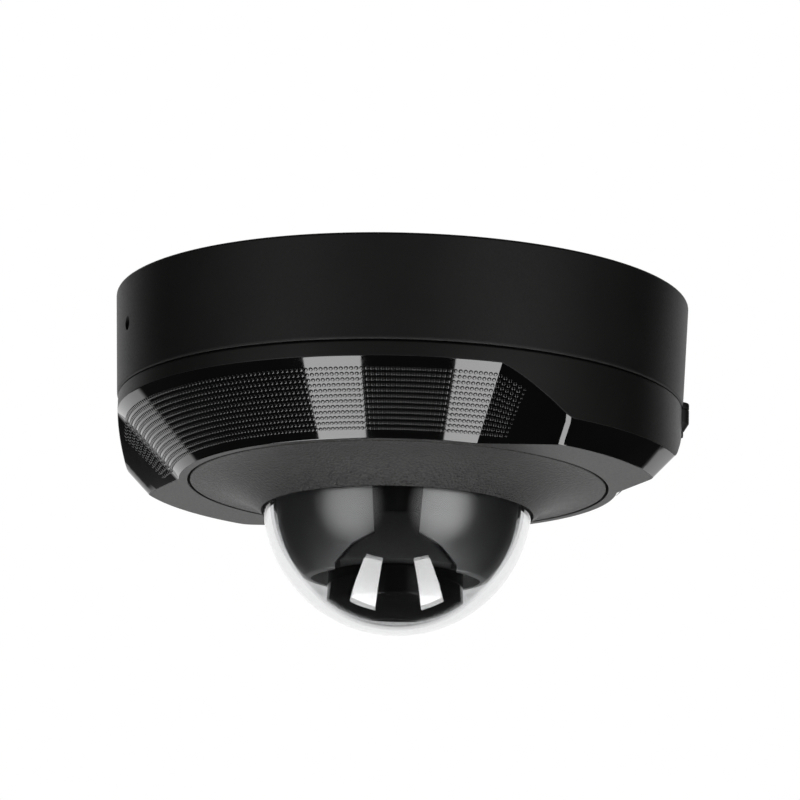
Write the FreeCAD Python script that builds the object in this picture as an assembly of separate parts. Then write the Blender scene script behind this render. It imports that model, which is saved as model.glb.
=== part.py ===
"""Small recessed-lens dome camera for ceiling mounting, built dome down.

Millimetres, +Z up.  The origin is the centre of the mounting face that meets the ceiling,
so the whole camera hangs below z = 0.  A bearing is an angle about +Z measured from -Y
towards +X, so bearing 0 is the side that looks at -Y.
"""
import FreeCAD, Part
import math
import os

V = FreeCAD.Vector
UP = V(0, 0, 1)
CENTRE = V(0, 0, 0)

# ---- base housing ------------------------------------------------------------------
BASE_TOP_R = 55.0          # radius at the ceiling face
SEAM_R = 54.2              # radius where the front cover meets it (moulding draft)
SEAM_Z = -20.0
BASE_INNER_R = 51.8
PLATE_T = 3.0              # ceiling plate
EDGE_BREAK = 0.25          # small bevel on each side of the seam
CEILING_GASKET_R = (46.5, 50.5)
CEILING_GASKET_T = 1.0
CABLE_X = -24.0            # centre of the cable entry
CABLE_HOLE_R = 9.0
CABLE_R = 3.2              # hole through the grommet
GROMMET_LENGTH = 4.0
GROMMET_LIP = 2.0          # how far its inner flange laps over the plate
FIX_PCD_R = 42.0           # three ceiling screws
FIX_BEARINGS = (60, 180, 300)
FIX_HOLE_R = 2.25
FIX_ACCESS_R = 5.5         # driver clearance through board and chassis
POST_PCD_R = 44.0          # posts that carry the chassis
POST_BEARINGS = (0, 120, 240)
POST_R = 3.2
POST_SCREW_R = 1.05
MIC_BEARING = -72.0
MIC_Z = -9.2
MIC_HOLE_R = 1.35
MIC_CRADLE_R = (2.8, 3.6)
MIC_BOOT_R = (2.0, 2.75)
MIC_BODY_R = 1.95
LUG_BEARING = 88.0         # locking lug at the side
LUG_PCD_R = 53.5
LUG_R = 1.9
LUG_TOP_Z = -18.7
LUG_LOW_Z = -24.3
LOCK_PCD_R = 53.0
LOCK_SHANK_R = 0.75
LOCK_HEAD_R = 1.35
LOCK_HEAD_Z = -22.6        # underside of the wall that the head clamps

# ---- chassis and electronics -------------------------------------------------------
CHASSIS_R = 48.9
CHASSIS_Z = (-19.4, -17.6)
BOARD_R = 40.0
BOARD_Z = (-15.8, -14.6)
BOARD_HOLE_R = 12.0
STANDOFF_PCD_R = 33.0
STANDOFF_BEARINGS = (45, 115, 236, 315)
STANDOFF_R = 2.4
BOARD_SCREW_R = 0.8
JACK_X = (14.0, 35.0)
JACK_HALF_W = 8.0
JACK_TOP_Z = -3.4
PORT_HALF_W = 5.9
PORT_Z = (-13.2, -4.9)
PORT_DEPTH = 12.5
CONTACT_PITCH = 1.02
RESET_AT = (38.0, 210.0)   # radius and bearing
TAMPER_AT = (38.0, 330.0)
BUTTON_R = 1.5
SWITCH_R = 2.6
CARD_BEARING = 150.0
CARD_SLOT_R = (24.0, 39.0)
CARD_HALF_W = 5.5
CHIP_Y = (-32.0, -18.0)    # main processor, under the board

# ---- pan, tilt and roll ------------------------------------------------------------
HUB_R = 9.15
HUB_HOLE_R = 9.2
HUB_BORE_R = 6.8
HUB_TOP_Z = -16.2
HUB_GROOVE_R = 8.5
TABLE_R = 20.0
TABLE_Z = (-21.75, -19.95)
FRICTION_R = (14.0, 18.0)
FRICTION_DEPTH = 0.4
STOP_PCD_R = 22.5
STOP_PEG_R = 0.9
STOP_TAB_HALF = 0.8
YOKE_PLATE_Z = (-23.25, -21.75)
YOKE_HALF_W = 13.0
YOKE_SCREW_Y = (-11.0, 11.0)
LINER_SCREW_X = 19.4
ARM_X = (15.2, 17.2)
ARM_HALF_W = 5.0
PIVOT_Z = -38.88           # tilt axis, through the centre of the dome
PIVOT_R = 1.5
CRADLE_R = (11.55, 13.6)
CRADLE_Z = (-46.0, -36.2)
BOSS_R = 2.6
RETAINER_Z = (-35.95, -35.35)
HEAD_R = 11.5
HEAD_Z = (-53.0, -34.8)
HEAD_SPIGOT = 1.05          # how far the head shell reaches into the front cap
HEAD_WALL = 1.2
HOOD_R = 22.2              # outer sphere of the hood, about the tilt axis
HOOD_LOW_Z = -53.0
HOOD_TOP_Z = -45.0         # top of the hood's spine
HOOD_SKIN = 1.6
HOOD_EDGE = ((4.8, -36.0), (3.85, -48.9), (7.85, -50.8), (10.85, -53.6))  # half width, z
SLOT_GAP = 0.25            # all round the hood, in the liner's slot
COLLAR_R = (11.7, 12.8)
CAP_R = 12.8
CAP_WALL = 1.6
CAP_SPHERE_R = 23.3
CAP_FACE_T = 1.4
CAP_TOP_Z = -53.15
LENS_BORE_R = 4.6
SENSOR_BOARD_Z = -40.2     # underside
BARREL_R = 6.0
BARREL_Z = (-59.4, -44.0)
BARREL_BORE_R = 4.0
FRONT_GLASS_R = 4.25
IR_BOARD_Z = (-54.9, -54.05)
IR_RING_R = 9.2            # pitch radius of the infrared lamps

# ---- liner and dome ----------------------------------------------------------------
LINER_R = (22.1, 23.1)
LINER_TOP_Z = -28.5
LINER_CUT_Z = -54.2
WINDOW_HALF_W = 13.2
WINDOW_TOP_Z = -30.2
DOME_R = 25.7
DOME_INNER_R = 23.7
FLANGE_R = 31.2
FLANGE_Z = (-31.85, -30.05)

# ---- front cover -------------------------------------------------------------------
COVER_R = 54.0
COVER_LOW_Z = -35.85
WALL = 2.2
SIDE_TOP_Z = -31.55        # narrow chamfer of the two side sectors
SIDE_LOW_R = 50.1
FACET_TOP_Z = -23.05       # wide chamfer of the two main facets
FACET_LOW_R = 41.9
FACET_CENTRES = (-34.2, 145.8)
FACET_HALF = 54.3          # half the angle that a wide facet spans
BLEND_SPAN = 16.6          # angle that the flat blend between wide and narrow takes
TRIM_SEAT_R = 40.25
LEDGE_Z = (-34.0, -32.4)
LEDGE_INNER_R = 26.2
RIM_R = (31.6, 36.5)
RIM_TOP_Z = -30.2
CLAMP_Z = (-30.05, -28.45)
CLAMP_PCD_R = 34.0
CLAMP_BEARINGS = (45, 135, 225, 315)
SPIGOT_R = (49.9, 51.5)
SPIGOT_TOP_Z = -17.0
SEAL_Z = -18.5
SEAL_SECTION_R = 0.7
SHELF_Z = -22.2            # underside of the inner shelf that carries the spigot

# ---- flared trim ring --------------------------------------------------------------
TRIM_R = 39.76
TRIM_ARC_R = 19.8
TRIM_INNER_R = 26.0
TRIM_T = 1.6
TRIM_STEP_R = 36.0         # the flat back of the rim starts here


def at(radius, bearing, z=0.0):
    """Point at a radius and bearing."""
    a = math.radians(bearing)
    return V(radius * math.sin(a), -radius * math.cos(a), z)


def ring(r_in, r_out, z):
    body = Part.makeCylinder(r_out, z[1] - z[0], V(0, 0, z[0]))
    return body.cut(Part.makeCylinder(r_in, z[1] - z[0] + 2, V(0, 0, z[0] - 1)))


def rod(point, radius, z):
    """Upright cylinder over the XY place of a point."""
    return Part.makeCylinder(radius, z[1] - z[0], V(point.x, point.y, z[0]))


def box(x, y, z):
    return Part.makeBox(x[1] - x[0], y[1] - y[0], z[1] - z[0], V(x[0], y[0], z[0]))


def turned(shape, bearing):
    """Copy of a shape turned about +Z from bearing 0 to the given bearing."""
    copy = shape.copy()
    copy.rotate(CENTRE, UP, bearing)
    return copy


def around(shape, bearings):
    return [turned(shape, b) for b in bearings]


def group(shapes):
    return Part.makeCompound(shapes)


def revolve(points, angle=360.0):
    """Solid of revolution about Z from (radius, z) points."""
    corners = [V(r, 0, z) for r, z in points]
    face = Part.Face(Part.makePolygon(corners + corners[:1]))
    return face.revolve(CENTRE, UP, angle)


def prism_y(points, y):
    """Prism along Y from (x, z) points."""
    corners = [V(x, y[0], z) for x, z in points]
    face = Part.Face(Part.makePolygon(corners + corners[:1]))
    return face.extrude(V(0, y[1] - y[0], 0))


def ball(radius):
    """Sphere about the tilt axis."""
    return Part.makeSphere(radius, V(0, 0, PIVOT_Z))


def screw(point, head_z, head_r, head_h, shank_r, length, drive_r=0.6):
    """Screw driven from below: head under head_z, shank above it, blind drive recess."""
    head = rod(point, head_r, (head_z - head_h, head_z))
    shank = rod(point, shank_r, (head_z, head_z + length))
    recess = rod(point, drive_r, (head_z - head_h - 1, head_z - 0.35 * head_h))
    return head.fuse(shank).cut(recess)


# ------------------------------------------------------------------------------------
# Root: what stays on the ceiling
# ------------------------------------------------------------------------------------
def base_housing():
    inner_r = BASE_INNER_R
    body = revolve([(0, 0), (BASE_TOP_R - 0.4, 0), (BASE_TOP_R, -0.4),
                    (SEAM_R, SEAM_Z + EDGE_BREAK), (SEAM_R - EDGE_BREAK, SEAM_Z),
                    (inner_r, SEAM_Z), (inner_r, -PLATE_T), (0, -PLATE_T)])
    body = body.cut(ring(CEILING_GASKET_R[0], CEILING_GASKET_R[1], (-CEILING_GASKET_T, 1)))
    lug = rod(at(LUG_PCD_R, LUG_BEARING), LUG_R, (SEAM_Z, LUG_TOP_Z))
    body = body.fuse(lug.cut(Part.makeCylinder(BASE_INNER_R, 30, V(0, 0, -30))))
    posts = [rod(at(POST_PCD_R, b), POST_R, (CHASSIS_Z[1], -PLATE_T + 0.5)) for b in POST_BEARINGS]
    body = body.fuse(posts).fuse(mic_cradle())
    holes = [rod(at(FIX_PCD_R, b), FIX_HOLE_R, (-5, 1)) for b in FIX_BEARINGS]
    holes += [rod(at(POST_PCD_R, b), POST_SCREW_R + 0.05, (CHASSIS_Z[1] - 1, -8)) for b in POST_BEARINGS]
    holes.append(rod(V(CABLE_X, 0, 0), CABLE_HOLE_R, (-5, 1)))
    holes.append(rod(at(LOCK_PCD_R, LUG_BEARING), LOCK_SHANK_R + 0.05, (SEAM_Z - 1, -15.5)))
    holes.append(mic_axis_rod(MIC_HOLE_R, 50.0, 60.0))
    return body.cut(holes)


def mic_axis_rod(radius, r_from, r_to):
    """Cylinder along the microphone's radial axis."""
    direction = at(1, MIC_BEARING)
    start = at(r_from, MIC_BEARING, MIC_Z)
    return Part.makeCylinder(radius, r_to - r_from, start, direction)


def mic_cradle():
    """Short tube inside the wall that holds the microphone's rubber boot."""
    tube = mic_axis_rod(MIC_CRADLE_R[1], 48.6, 53.0)
    return tube.cut(mic_axis_rod(MIC_CRADLE_R[0], 48.0, 51.6))


def microphone_boot():
    boot = mic_axis_rod(MIC_BOOT_R[1], 48.8, 51.55)
    return boot.cut([mic_axis_rod(MIC_BOOT_R[0], 48.0, 50.4), mic_axis_rod(0.8, 48.0, 52.0)])


def microphone():
    return mic_axis_rod(MIC_BODY_R, 48.9, 50.35)


def ceiling_gasket():
    return ring(CEILING_GASKET_R[0] + 0.1, CEILING_GASKET_R[1] - 0.1, (-CEILING_GASKET_T, -0.05))


def cable_grommet():
    centre = V(CABLE_X, 0, 0)
    body = rod(centre, CABLE_HOLE_R, (-PLATE_T, -0.2))
    low_z = -0.2 - GROMMET_LENGTH
    body = body.fuse(rod(centre, CABLE_HOLE_R + GROMMET_LIP, (low_z, -PLATE_T)))
    body = body.cut(rod(centre, CABLE_R, (low_z - 1, 1)))
    groove_r = (CABLE_R + 1.4, CABLE_HOLE_R - 1.8)
    groove = rod(centre, groove_r[1], (-1.4, 1)).cut(rod(centre, groove_r[0], (-1.4, 1)))
    return body.cut(groove)


def chassis_plate():
    body = Part.makeCylinder(CHASSIS_R, CHASSIS_Z[1] - CHASSIS_Z[0], V(0, 0, CHASSIS_Z[0]))
    tall = (CHASSIS_Z[0] - 1, CHASSIS_Z[1] + 1)
    cuts = [Part.makeCylinder(HUB_HOLE_R, 4, V(0, 0, tall[0]))]
    for bearing in FIX_BEARINGS:
        cuts.append(access_notch(bearing, tall))
    cuts += [rod(at(POST_PCD_R, b), POST_SCREW_R + 0.35, tall) for b in POST_BEARINGS]
    cuts.append(turned(box((-7, 7), (-60, -CARD_SLOT_R[1] + 2.5), tall), CARD_BEARING))
    cuts += [rod(at(*place), BUTTON_R + 0.3, tall) for place in (RESET_AT, TAMPER_AT)]
    body = body.cut(cuts)
    ribs = [turned(box((-1, 1), (-36, -26), (CHASSIS_Z[0] - 0.8, CHASSIS_Z[0])), b)
            for b in (0, 90, 180, 270)]
    standoffs = [rod(at(STANDOFF_PCD_R, b), STANDOFF_R, (CHASSIS_Z[1], BOARD_Z[0]))
                 for b in STANDOFF_BEARINGS]
    peg = rod(at(STOP_PCD_R, 180), STOP_PEG_R, (-21.3, CHASSIS_Z[0]))
    body = body.fuse(standoffs + ribs + [peg])
    pilot_z = (CHASSIS_Z[0] - 1, BOARD_Z[0] + 1)
    return body.cut([rod(at(STANDOFF_PCD_R, b), BOARD_SCREW_R + 0.05, pilot_z)
                     for b in STANDOFF_BEARINGS])


def access_notch(bearing, z):
    """Open notch that lets a driver reach a ceiling screw."""
    notch = rod(at(FIX_PCD_R, 0), FIX_ACCESS_R, z)
    notch = notch.fuse(box((-FIX_ACCESS_R, FIX_ACCESS_R), (-60, -FIX_PCD_R), z))
    return turned(notch, bearing)


def chassis_screws():
    return group([screw(at(POST_PCD_R, b), CHASSIS_Z[0], 2.4, 1.5, POST_SCREW_R, 8.0)
                  for b in POST_BEARINGS])


def main_board():
    body = ring(BOARD_HOLE_R, BOARD_R, BOARD_Z)
    tall = (BOARD_Z[0] - 1, BOARD_Z[1] + 1)
    cuts = [access_notch(b, tall) for b in FIX_BEARINGS]
    cuts += [rod(at(STANDOFF_PCD_R, b), BOARD_SCREW_R + 0.3, tall) for b in STANDOFF_BEARINGS]
    return body.cut(cuts)


def board_screws():
    """Screws from above through the board into the standoffs."""
    screws = []
    for bearing in STANDOFF_BEARINGS:
        point = at(STANDOFF_PCD_R, bearing)
        head = rod(point, 1.8, (BOARD_Z[1], BOARD_Z[1] + 1.2))
        shank = rod(point, BOARD_SCREW_R, (BOARD_Z[1] - 3.4, BOARD_Z[1]))
        recess = rod(point, 0.5, (BOARD_Z[1] + 0.6, BOARD_Z[1] + 2))
        screws.append(head.fuse(shank).cut(recess))
    return group(screws)


def network_jack():
    body = box(JACK_X, (-JACK_HALF_W, JACK_HALF_W), (BOARD_Z[1], JACK_TOP_Z))
    port = box((JACK_X[0] - 1, JACK_X[0] + PORT_DEPTH), (-PORT_HALF_W, PORT_HALF_W), PORT_Z)
    latch = box((JACK_X[0] - 1, JACK_X[0] + 7), (-2.0, 2.0), (PORT_Z[0] - 1.0, PORT_Z[0] + 0.5))
    return body.cut([port, latch])


def jack_contacts():
    """Eight spring wires under the port's roof."""
    wires = []
    for i in range(8):
        y = (i - 3.5) * CONTACT_PITCH
        wires.append(box((JACK_X[0] + 3, JACK_X[0] + PORT_DEPTH), (y - 0.2, y + 0.2),
                         (PORT_Z[1] - 0.45, PORT_Z[1])))
    return group(wires)


def processor_chip():
    return box((-7, 7), CHIP_Y, (BOARD_Z[0] - 1.3, BOARD_Z[0]))


def thermal_pad():
    return box((-6.5, 6.5), (CHIP_Y[0] + 0.5, CHIP_Y[1] - 0.5), (CHASSIS_Z[1], BOARD_Z[0] - 1.3))


def memory_chips():
    return group([box((x, x + 8), (-30, -20), (BOARD_Z[1], BOARD_Z[1] + 1.0))
                  for x in (-18.0, 10.0)])


def power_transformer():
    body = box((-8, 8), (20, 34), (BOARD_Z[1], BOARD_Z[1] + 7.5))
    return body.cut(box((-9, 9), (25.5, 28.5), (BOARD_Z[1] + 6.0, BOARD_Z[1] + 8)))


def capacitors():
    return group([rod(V(x, y, 0), 3.1, (BOARD_Z[1], BOARD_Z[1] + 7.0))
                  for x, y in ((-17, 25), (17, 25), (24, 17))])


def ribbon_connector():
    body = box((-8, 8), (-16.5, -12.8), (BOARD_Z[1], BOARD_Z[1] + 2.0))
    return body.cut(box((-7, 7), (-15.0, -12.0), (BOARD_Z[1] + 0.6, BOARD_Z[1] + 1.3)))


def card_slot():
    """Metal-shelled socket under the board, open towards the rim."""
    shell = box((-7, 7), (-CARD_SLOT_R[1], -CARD_SLOT_R[0]), (BOARD_Z[0] - 1.6, BOARD_Z[0]))
    mouth = box((-CARD_HALF_W - 0.3, CARD_HALF_W + 0.3),
                (-CARD_SLOT_R[1] - 1, -CARD_SLOT_R[0] - 1.2),
                (BOARD_Z[0] - 1.3, BOARD_Z[0] - 0.2))
    return turned(shell.cut(mouth), CARD_BEARING)


def memory_card():
    card = box((-CARD_HALF_W, CARD_HALF_W), (-CARD_SLOT_R[1] - 2.0, -CARD_SLOT_R[1] + 13.0),
               (BOARD_Z[0] - 1.15, BOARD_Z[0] - 0.35))
    grip = box((-CARD_HALF_W - 0.1, CARD_HALF_W + 0.1),
               (-CARD_SLOT_R[1] - 1.6, -CARD_SLOT_R[1] - 1.1),
               (BOARD_Z[0] - 0.5, BOARD_Z[0] + 1))
    return turned(card.cut(grip), CARD_BEARING)


def switch_body(place):
    return rod(at(*place), SWITCH_R, (BOARD_Z[0] - 0.8, BOARD_Z[0]))


def button_cap(place, low_z):
    """Round button that stands through the chassis and presses a dome switch."""
    point = at(*place)
    stem = rod(point, BUTTON_R, (low_z, BOARD_Z[0] - 1.4))
    return stem.cut(rod(point, 0.8, (low_z - 1, low_z + 0.3)))


# ------------------------------------------------------------------------------------
# Pan: turntable, yoke and liner
# ------------------------------------------------------------------------------------
def pan_turntable():
    body = ring(HUB_BORE_R, TABLE_R, TABLE_Z)
    body = body.fuse(ring(HUB_BORE_R, HUB_R, (TABLE_Z[1], HUB_TOP_Z)))
    body = body.cut(ring(HUB_GROOVE_R, 12, (-17.5, -16.75)))
    body = body.cut(ring(*FRICTION_R, (TABLE_Z[1] - FRICTION_DEPTH, TABLE_Z[1] + 1)))
    tab = box((-STOP_TAB_HALF, STOP_TAB_HALF), (-23.7, -TABLE_R + 0.5), (TABLE_Z[0], -20.3))
    body = body.fuse(tab)
    pilot_z = (TABLE_Z[0] - 1, TABLE_Z[1] - 0.3)
    return body.cut([rod(V(0, y, 0), 0.85, pilot_z) for y in YOKE_SCREW_Y])


def pan_retainer():
    """Split ring in the hub's groove that carries the turntable on the chassis."""
    body = ring(HUB_GROOVE_R + 0.05, 11.2, (-17.45, -16.8))
    return body.cut(box((-1.5, 1.5), (0, 12), (-18, -16)))


def pan_friction_ring():
    low_z = TABLE_Z[1] - FRICTION_DEPTH
    return ring(FRICTION_R[0] + 0.1, FRICTION_R[1] - 0.1, (low_z, CHASSIS_Z[0] - 0.05))


def pan_yoke():
    plate = ring(HUB_BORE_R, ARM_X[1], YOKE_PLATE_Z)
    plate = plate.common(box((-18, 18), (-YOKE_HALF_W, YOKE_HALF_W), (-24, -20)))
    body = plate.fuse([yoke_arm(side) for side in (-1, 1)])
    body = body.cut([rod(V(0, y, 0), 1.1, (-25, -21)) for y in YOKE_SCREW_Y])
    pivot = Part.makeCylinder(PIVOT_R + 0.05, 60, V(-30, 0, PIVOT_Z), V(1, 0, 0))
    return body.cut(pivot)


def yoke_arm(side):
    """One arm: a flat strap rounded about the pivot, with a stiffening rib and a screw ear."""
    x_low = min(side * ARM_X[0], side * ARM_X[1])
    x = (x_low, x_low + ARM_X[1] - ARM_X[0])
    strap = box(x, (-ARM_HALF_W, ARM_HALF_W), (PIVOT_Z, YOKE_PLATE_Z[0] + 0.5))
    eye = Part.makeCylinder(ARM_HALF_W, ARM_X[1] - ARM_X[0], V(x[0], 0, PIVOT_Z), V(1, 0, 0))
    ear_x = (ARM_X[1], 21.2) if side > 0 else (-21.2, -ARM_X[1])
    ear = box(ear_x, (-3.0, 3.0), (-28.4, -26.9))
    hole = rod(V(side * LINER_SCREW_X, 0, 0), 0.75, (-29, -26))
    return strap.fuse([eye, ear]).cut(hole)


def yoke_screws():
    return group([screw(V(0, y, 0), YOKE_PLATE_Z[0], 1.8, 1.2, 0.8, 2.6, 0.5)
                  for y in YOKE_SCREW_Y])


def hood_outline(gap):
    """Keyhole outline seen from -Y: a tapered spine that opens into the hood's shoulders."""
    top, *shoulders = HOOD_EDGE
    left = [(-top[0] - gap, top[1])] + [(-x - gap, z + gap) for x, z in shoulders]
    left.append((left[-1][0], LINER_CUT_Z - 2))
    return left + [(-x, z) for x, z in reversed(left)]


def inner_liner():
    """Two dark cheeks inside the dome, joined by a hoop above it, that turn with the pan."""
    tube = Part.makeCylinder(LINER_R[1], LINER_TOP_Z - PIVOT_Z, V(0, 0, PIVOT_Z))
    hollow = Part.makeCylinder(LINER_R[0], LINER_TOP_Z - PIVOT_Z + 1, V(0, 0, PIVOT_Z))
    lower = box((-30, 30), (-30, 30), (LINER_CUT_Z, PIVOT_Z))
    body = tube.fuse(ball(LINER_R[1]).common(lower))
    body = body.cut(hollow).cut(ball(LINER_R[0]))
    slot = prism_y(hood_outline(SLOT_GAP), (-30, -5))
    window = box((-WINDOW_HALF_W, WINDOW_HALF_W), (0, 30), (-60, WINDOW_TOP_Z))
    body = body.cut([slot, window])
    ears = [box((x, x + 5.2), (-3.5, 3.5), (LINER_TOP_Z - 1.2, LINER_TOP_Z))
            for x in (-22.6, 17.4)]
    body = body.fuse(ears)
    return body.cut([rod(V(x, 0, 0), 0.95, (-30, -28)) for x in (-LINER_SCREW_X, LINER_SCREW_X)])


def liner_screws():
    screws = []
    for x in (-LINER_SCREW_X, LINER_SCREW_X):
        screws.append(screw(V(x, 0, 0), LINER_TOP_Z - 1.2, 1.6, 1.0, 0.7, 2.6, 0.45))
    return group(screws)


# ------------------------------------------------------------------------------------
# Tilt: cradle, hood and pivots
# ------------------------------------------------------------------------------------
def tilt_cradle():
    body = ring(CRADLE_R[0], CRADLE_R[1], CRADLE_Z)
    bosses = []
    for side in (-1, 1):
        start = V(side * 12.4, 0, PIVOT_Z)
        boss = Part.makeCylinder(BOSS_R, 2.5, start, V(side, 0, 0))
        bosses.append(boss.cut(Part.makeCylinder(CRADLE_R[0], 40, V(0, 0, -60))))
    body = body.fuse(bosses)
    pivot = Part.makeCylinder(1.25, 60, V(-30, 0, PIVOT_Z), V(1, 0, 0))
    return body.cut(pivot)


def tilt_pivots():
    """Shoulder screws: head outside the arm, plain shoulder in it, thread in the cradle."""
    pins = []
    for side in (-1, 1):
        out = V(side, 0, 0)
        thread = Part.makeCylinder(1.2, 3.2, V(side * 11.8, 0, PIVOT_Z), out)
        shoulder = Part.makeCylinder(PIVOT_R, 2.35, V(side * 14.95, 0, PIVOT_Z), out)
        head = Part.makeCylinder(2.6, 1.1, V(side * 17.3, 0, PIVOT_Z), out)
        recess = Part.makeCylinder(0.7, 1.0, V(side * 17.8, 0, PIVOT_Z), out)
        pins.append(thread.fuse([shoulder, head]).cut(recess))
    return group(pins)


def camera_hood():
    """Matt hood over the top of the camera head, with a spine that fills the liner's slot."""
    reach = (-HOOD_R - 1, -6.0)
    outline = prism_y(hood_outline(0.0), reach)
    outline = outline.common(box((-30, 30), reach, (HOOD_LOW_Z, HOOD_TOP_Z)))
    skin = outline.common(ball(HOOD_R).cut(ball(HOOD_R - HOOD_SKIN)))
    floor_box = box((-30, 30), (-30, 0), (HOOD_LOW_Z, HOOD_LOW_Z + 1.2))
    floor = outline.common(ball(HOOD_R)).common(floor_box)
    web = box((-1.2, 1.2), (-21.5, -12.4), (HOOD_LOW_Z, -47.2)).common(ball(HOOD_R - 0.4))
    collar = ring(COLLAR_R[0], COLLAR_R[1], (HOOD_LOW_Z, CRADLE_Z[0]))
    bore = Part.makeCylinder(COLLAR_R[0], 12, V(0, 0, HOOD_LOW_Z - 2))
    return skin.fuse([floor, web, collar]).cut(bore)


# ------------------------------------------------------------------------------------
# Camera head, which rolls about the optical axis
# ------------------------------------------------------------------------------------
def head_shell():
    low = V(0, 0, HEAD_Z[0] - HEAD_SPIGOT)
    height = HEAD_Z[1] - HEAD_Z[0]
    body = Part.makeCylinder(HEAD_R, height, V(0, 0, HEAD_Z[0]))
    body = body.fuse(Part.makeCylinder(CAP_R - CAP_WALL, HEAD_SPIGOT, low))
    bore = Part.makeCylinder(HEAD_R - HEAD_WALL, height + HEAD_SPIGOT - HEAD_WALL, low)
    body = body.cut(bore)
    body = body.cut(Part.makeCylinder(3.5, 6, V(0, 0, -38)))
    return body.cut(ring(HEAD_R - 0.6, 13, RETAINER_Z))


def roll_retainer():
    """Split ring that keeps the head in the cradle."""
    body = ring(HEAD_R - 0.55, 12.9, (RETAINER_Z[0] + 0.05, RETAINER_Z[1] - 0.05))
    return body.cut(box((-1.2, 1.2), (0, 14), (-37, -34)))


def front_cap():
    """Glossy cap that carries the window: short wall, then a face that follows the dome."""
    low = V(0, 0, CAP_TOP_Z - 12)
    body = Part.makeCylinder(CAP_R, 12, low).common(ball(CAP_SPHERE_R))
    hollow = Part.makeCylinder(CAP_R - CAP_WALL, 12, low).common(ball(CAP_SPHERE_R - CAP_FACE_T))
    return body.cut([hollow, Part.makeCylinder(LENS_BORE_R, 10, low)])


def sensor_board():
    return Part.makeCylinder(10.0, 1.0, V(0, 0, SENSOR_BOARD_Z))


def image_sensor():
    return box((-3.8, 3.8), (-3.2, 3.2), (SENSOR_BOARD_Z - 0.9, SENSOR_BOARD_Z))


def lens_holder():
    body = box((-7, 7), (-7, 7), (-46.6, SENSOR_BOARD_Z))
    body = body.fuse(Part.makeCylinder(7.0, 3.0, V(0, 0, -49.0)))
    body = body.cut(Part.makeCylinder(BARREL_R, 10, V(0, 0, -52.0)).common(
        box((-9, 9), (-9, 9), (-52, -43.0))))
    return body.cut(box((-5, 5), (-5, 5), (-44, -39)))


def filter_glass():
    """Infrared-cut filter under the lens."""
    return box((-5, 5), (-5, 5), (-42.6, -42.0))


def lens_barrel():
    z_low, z_high = BARREL_Z
    body = Part.makeCylinder(BARREL_R, z_high - z_low, V(0, 0, z_low))
    body = body.cut(Part.makeCylinder(BARREL_BORE_R, 20, V(0, 0, z_low - 1)))
    return body.cut(Part.makeCylinder(FRONT_GLASS_R + 0.05, 2.0, V(0, 0, z_low - 0.6)))


def lens_front_glass():
    """Bulging front element."""
    sphere = Part.makeSphere(8.5, V(0, 0, BARREL_Z[0] + 6.8))
    disc = Part.makeCylinder(FRONT_GLASS_R, 4.0, V(0, 0, BARREL_Z[0] - 2.6))
    return sphere.common(disc)


def lens_inner_glasses():
    return group([Part.makeCylinder(BARREL_BORE_R - 0.05, 1.6, V(0, 0, z))
                  for z in (-54.5, -51.0, -47.5)])


def ir_board():
    return ring(7.7, CAP_R - CAP_WALL, IR_BOARD_Z)


def ir_leds():
    leds = []
    for bearing in (45, 135, 225, 315):
        low_z = IR_BOARD_Z[0] - 0.6
        led = box((-1.3, 1.3), (-IR_RING_R - 1.3, -IR_RING_R + 1.3), (low_z, IR_BOARD_Z[0]))
        dome = Part.makeSphere(1.1, V(0, -IR_RING_R, low_z + 0.1))
        lens = dome.common(box((-2, 2), (-12, -7), (low_z - 2, low_z + 0.2)))
        leds.append(turned(led.fuse(lens), bearing))
    return group(leds)


def light_shield():
    """Soft sleeve that keeps the infrared light out of the lens."""
    sleeve = ring(BARREL_R + 0.1, 7.4, (BARREL_Z[0] + 0.5, -52.0))
    return sleeve.fuse(ring(BARREL_R + 0.1, 9.0, (HEAD_Z[0] - HEAD_SPIGOT, HEAD_Z[0] - 0.3)))


# ------------------------------------------------------------------------------------
# Front cover and what comes off with it
# ------------------------------------------------------------------------------------
def faceted_drum(inset):
    """Cover's outer form, moved inwards by a wall thickness."""
    slope = math.hypot(COVER_R - FACET_LOW_R, FACET_TOP_Z - COVER_LOW_Z)
    cone_shift = inset * slope / (FACET_TOP_Z - COVER_LOW_Z)
    wall_r = COVER_R - inset
    low_z = COVER_LOW_Z + inset
    side = (COVER_R - SIDE_LOW_R) / (SIDE_TOP_Z - COVER_LOW_Z)

    def side_r(z):
        return COVER_R - cone_shift - (SIDE_TOP_Z - z) * side

    side_top = SIDE_TOP_Z + (cone_shift - inset) / side
    drum = revolve([(0, SEAM_Z), (wall_r, SEAM_Z), (wall_r, side_top),
                    (side_r(low_z), low_z), (0, low_z)])
    for centre in FACET_CENTRES:
        drum = drum.cut([turned(tool, centre) for tool in facet_tools(inset, cone_shift)])
    return drum


def facet_r(z, shift=0.0):
    """Radius of the wide facet's cone at a height."""
    rate = (COVER_R - FACET_LOW_R) / (FACET_TOP_Z - COVER_LOW_Z)
    return COVER_R - (FACET_TOP_Z - z) * rate - shift


def facet_tools(inset, cone_shift):
    """Cutters for one wide facet, centred on bearing 0, and the flat blends beside it."""
    top, low = SEAM_Z + 1, COVER_LOW_Z - 1
    section = [(facet_r(top, cone_shift), top), (75, top), (75, low), (facet_r(low, cone_shift), low)]
    sector = revolve(section, 2 * FACET_HALF)
    sector.rotate(CENTRE, UP, -90 - FACET_HALF)
    tools = [sector]
    for side in (-1, 1):
        tools.append(blend_tool(side, inset))
    return tools


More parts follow.
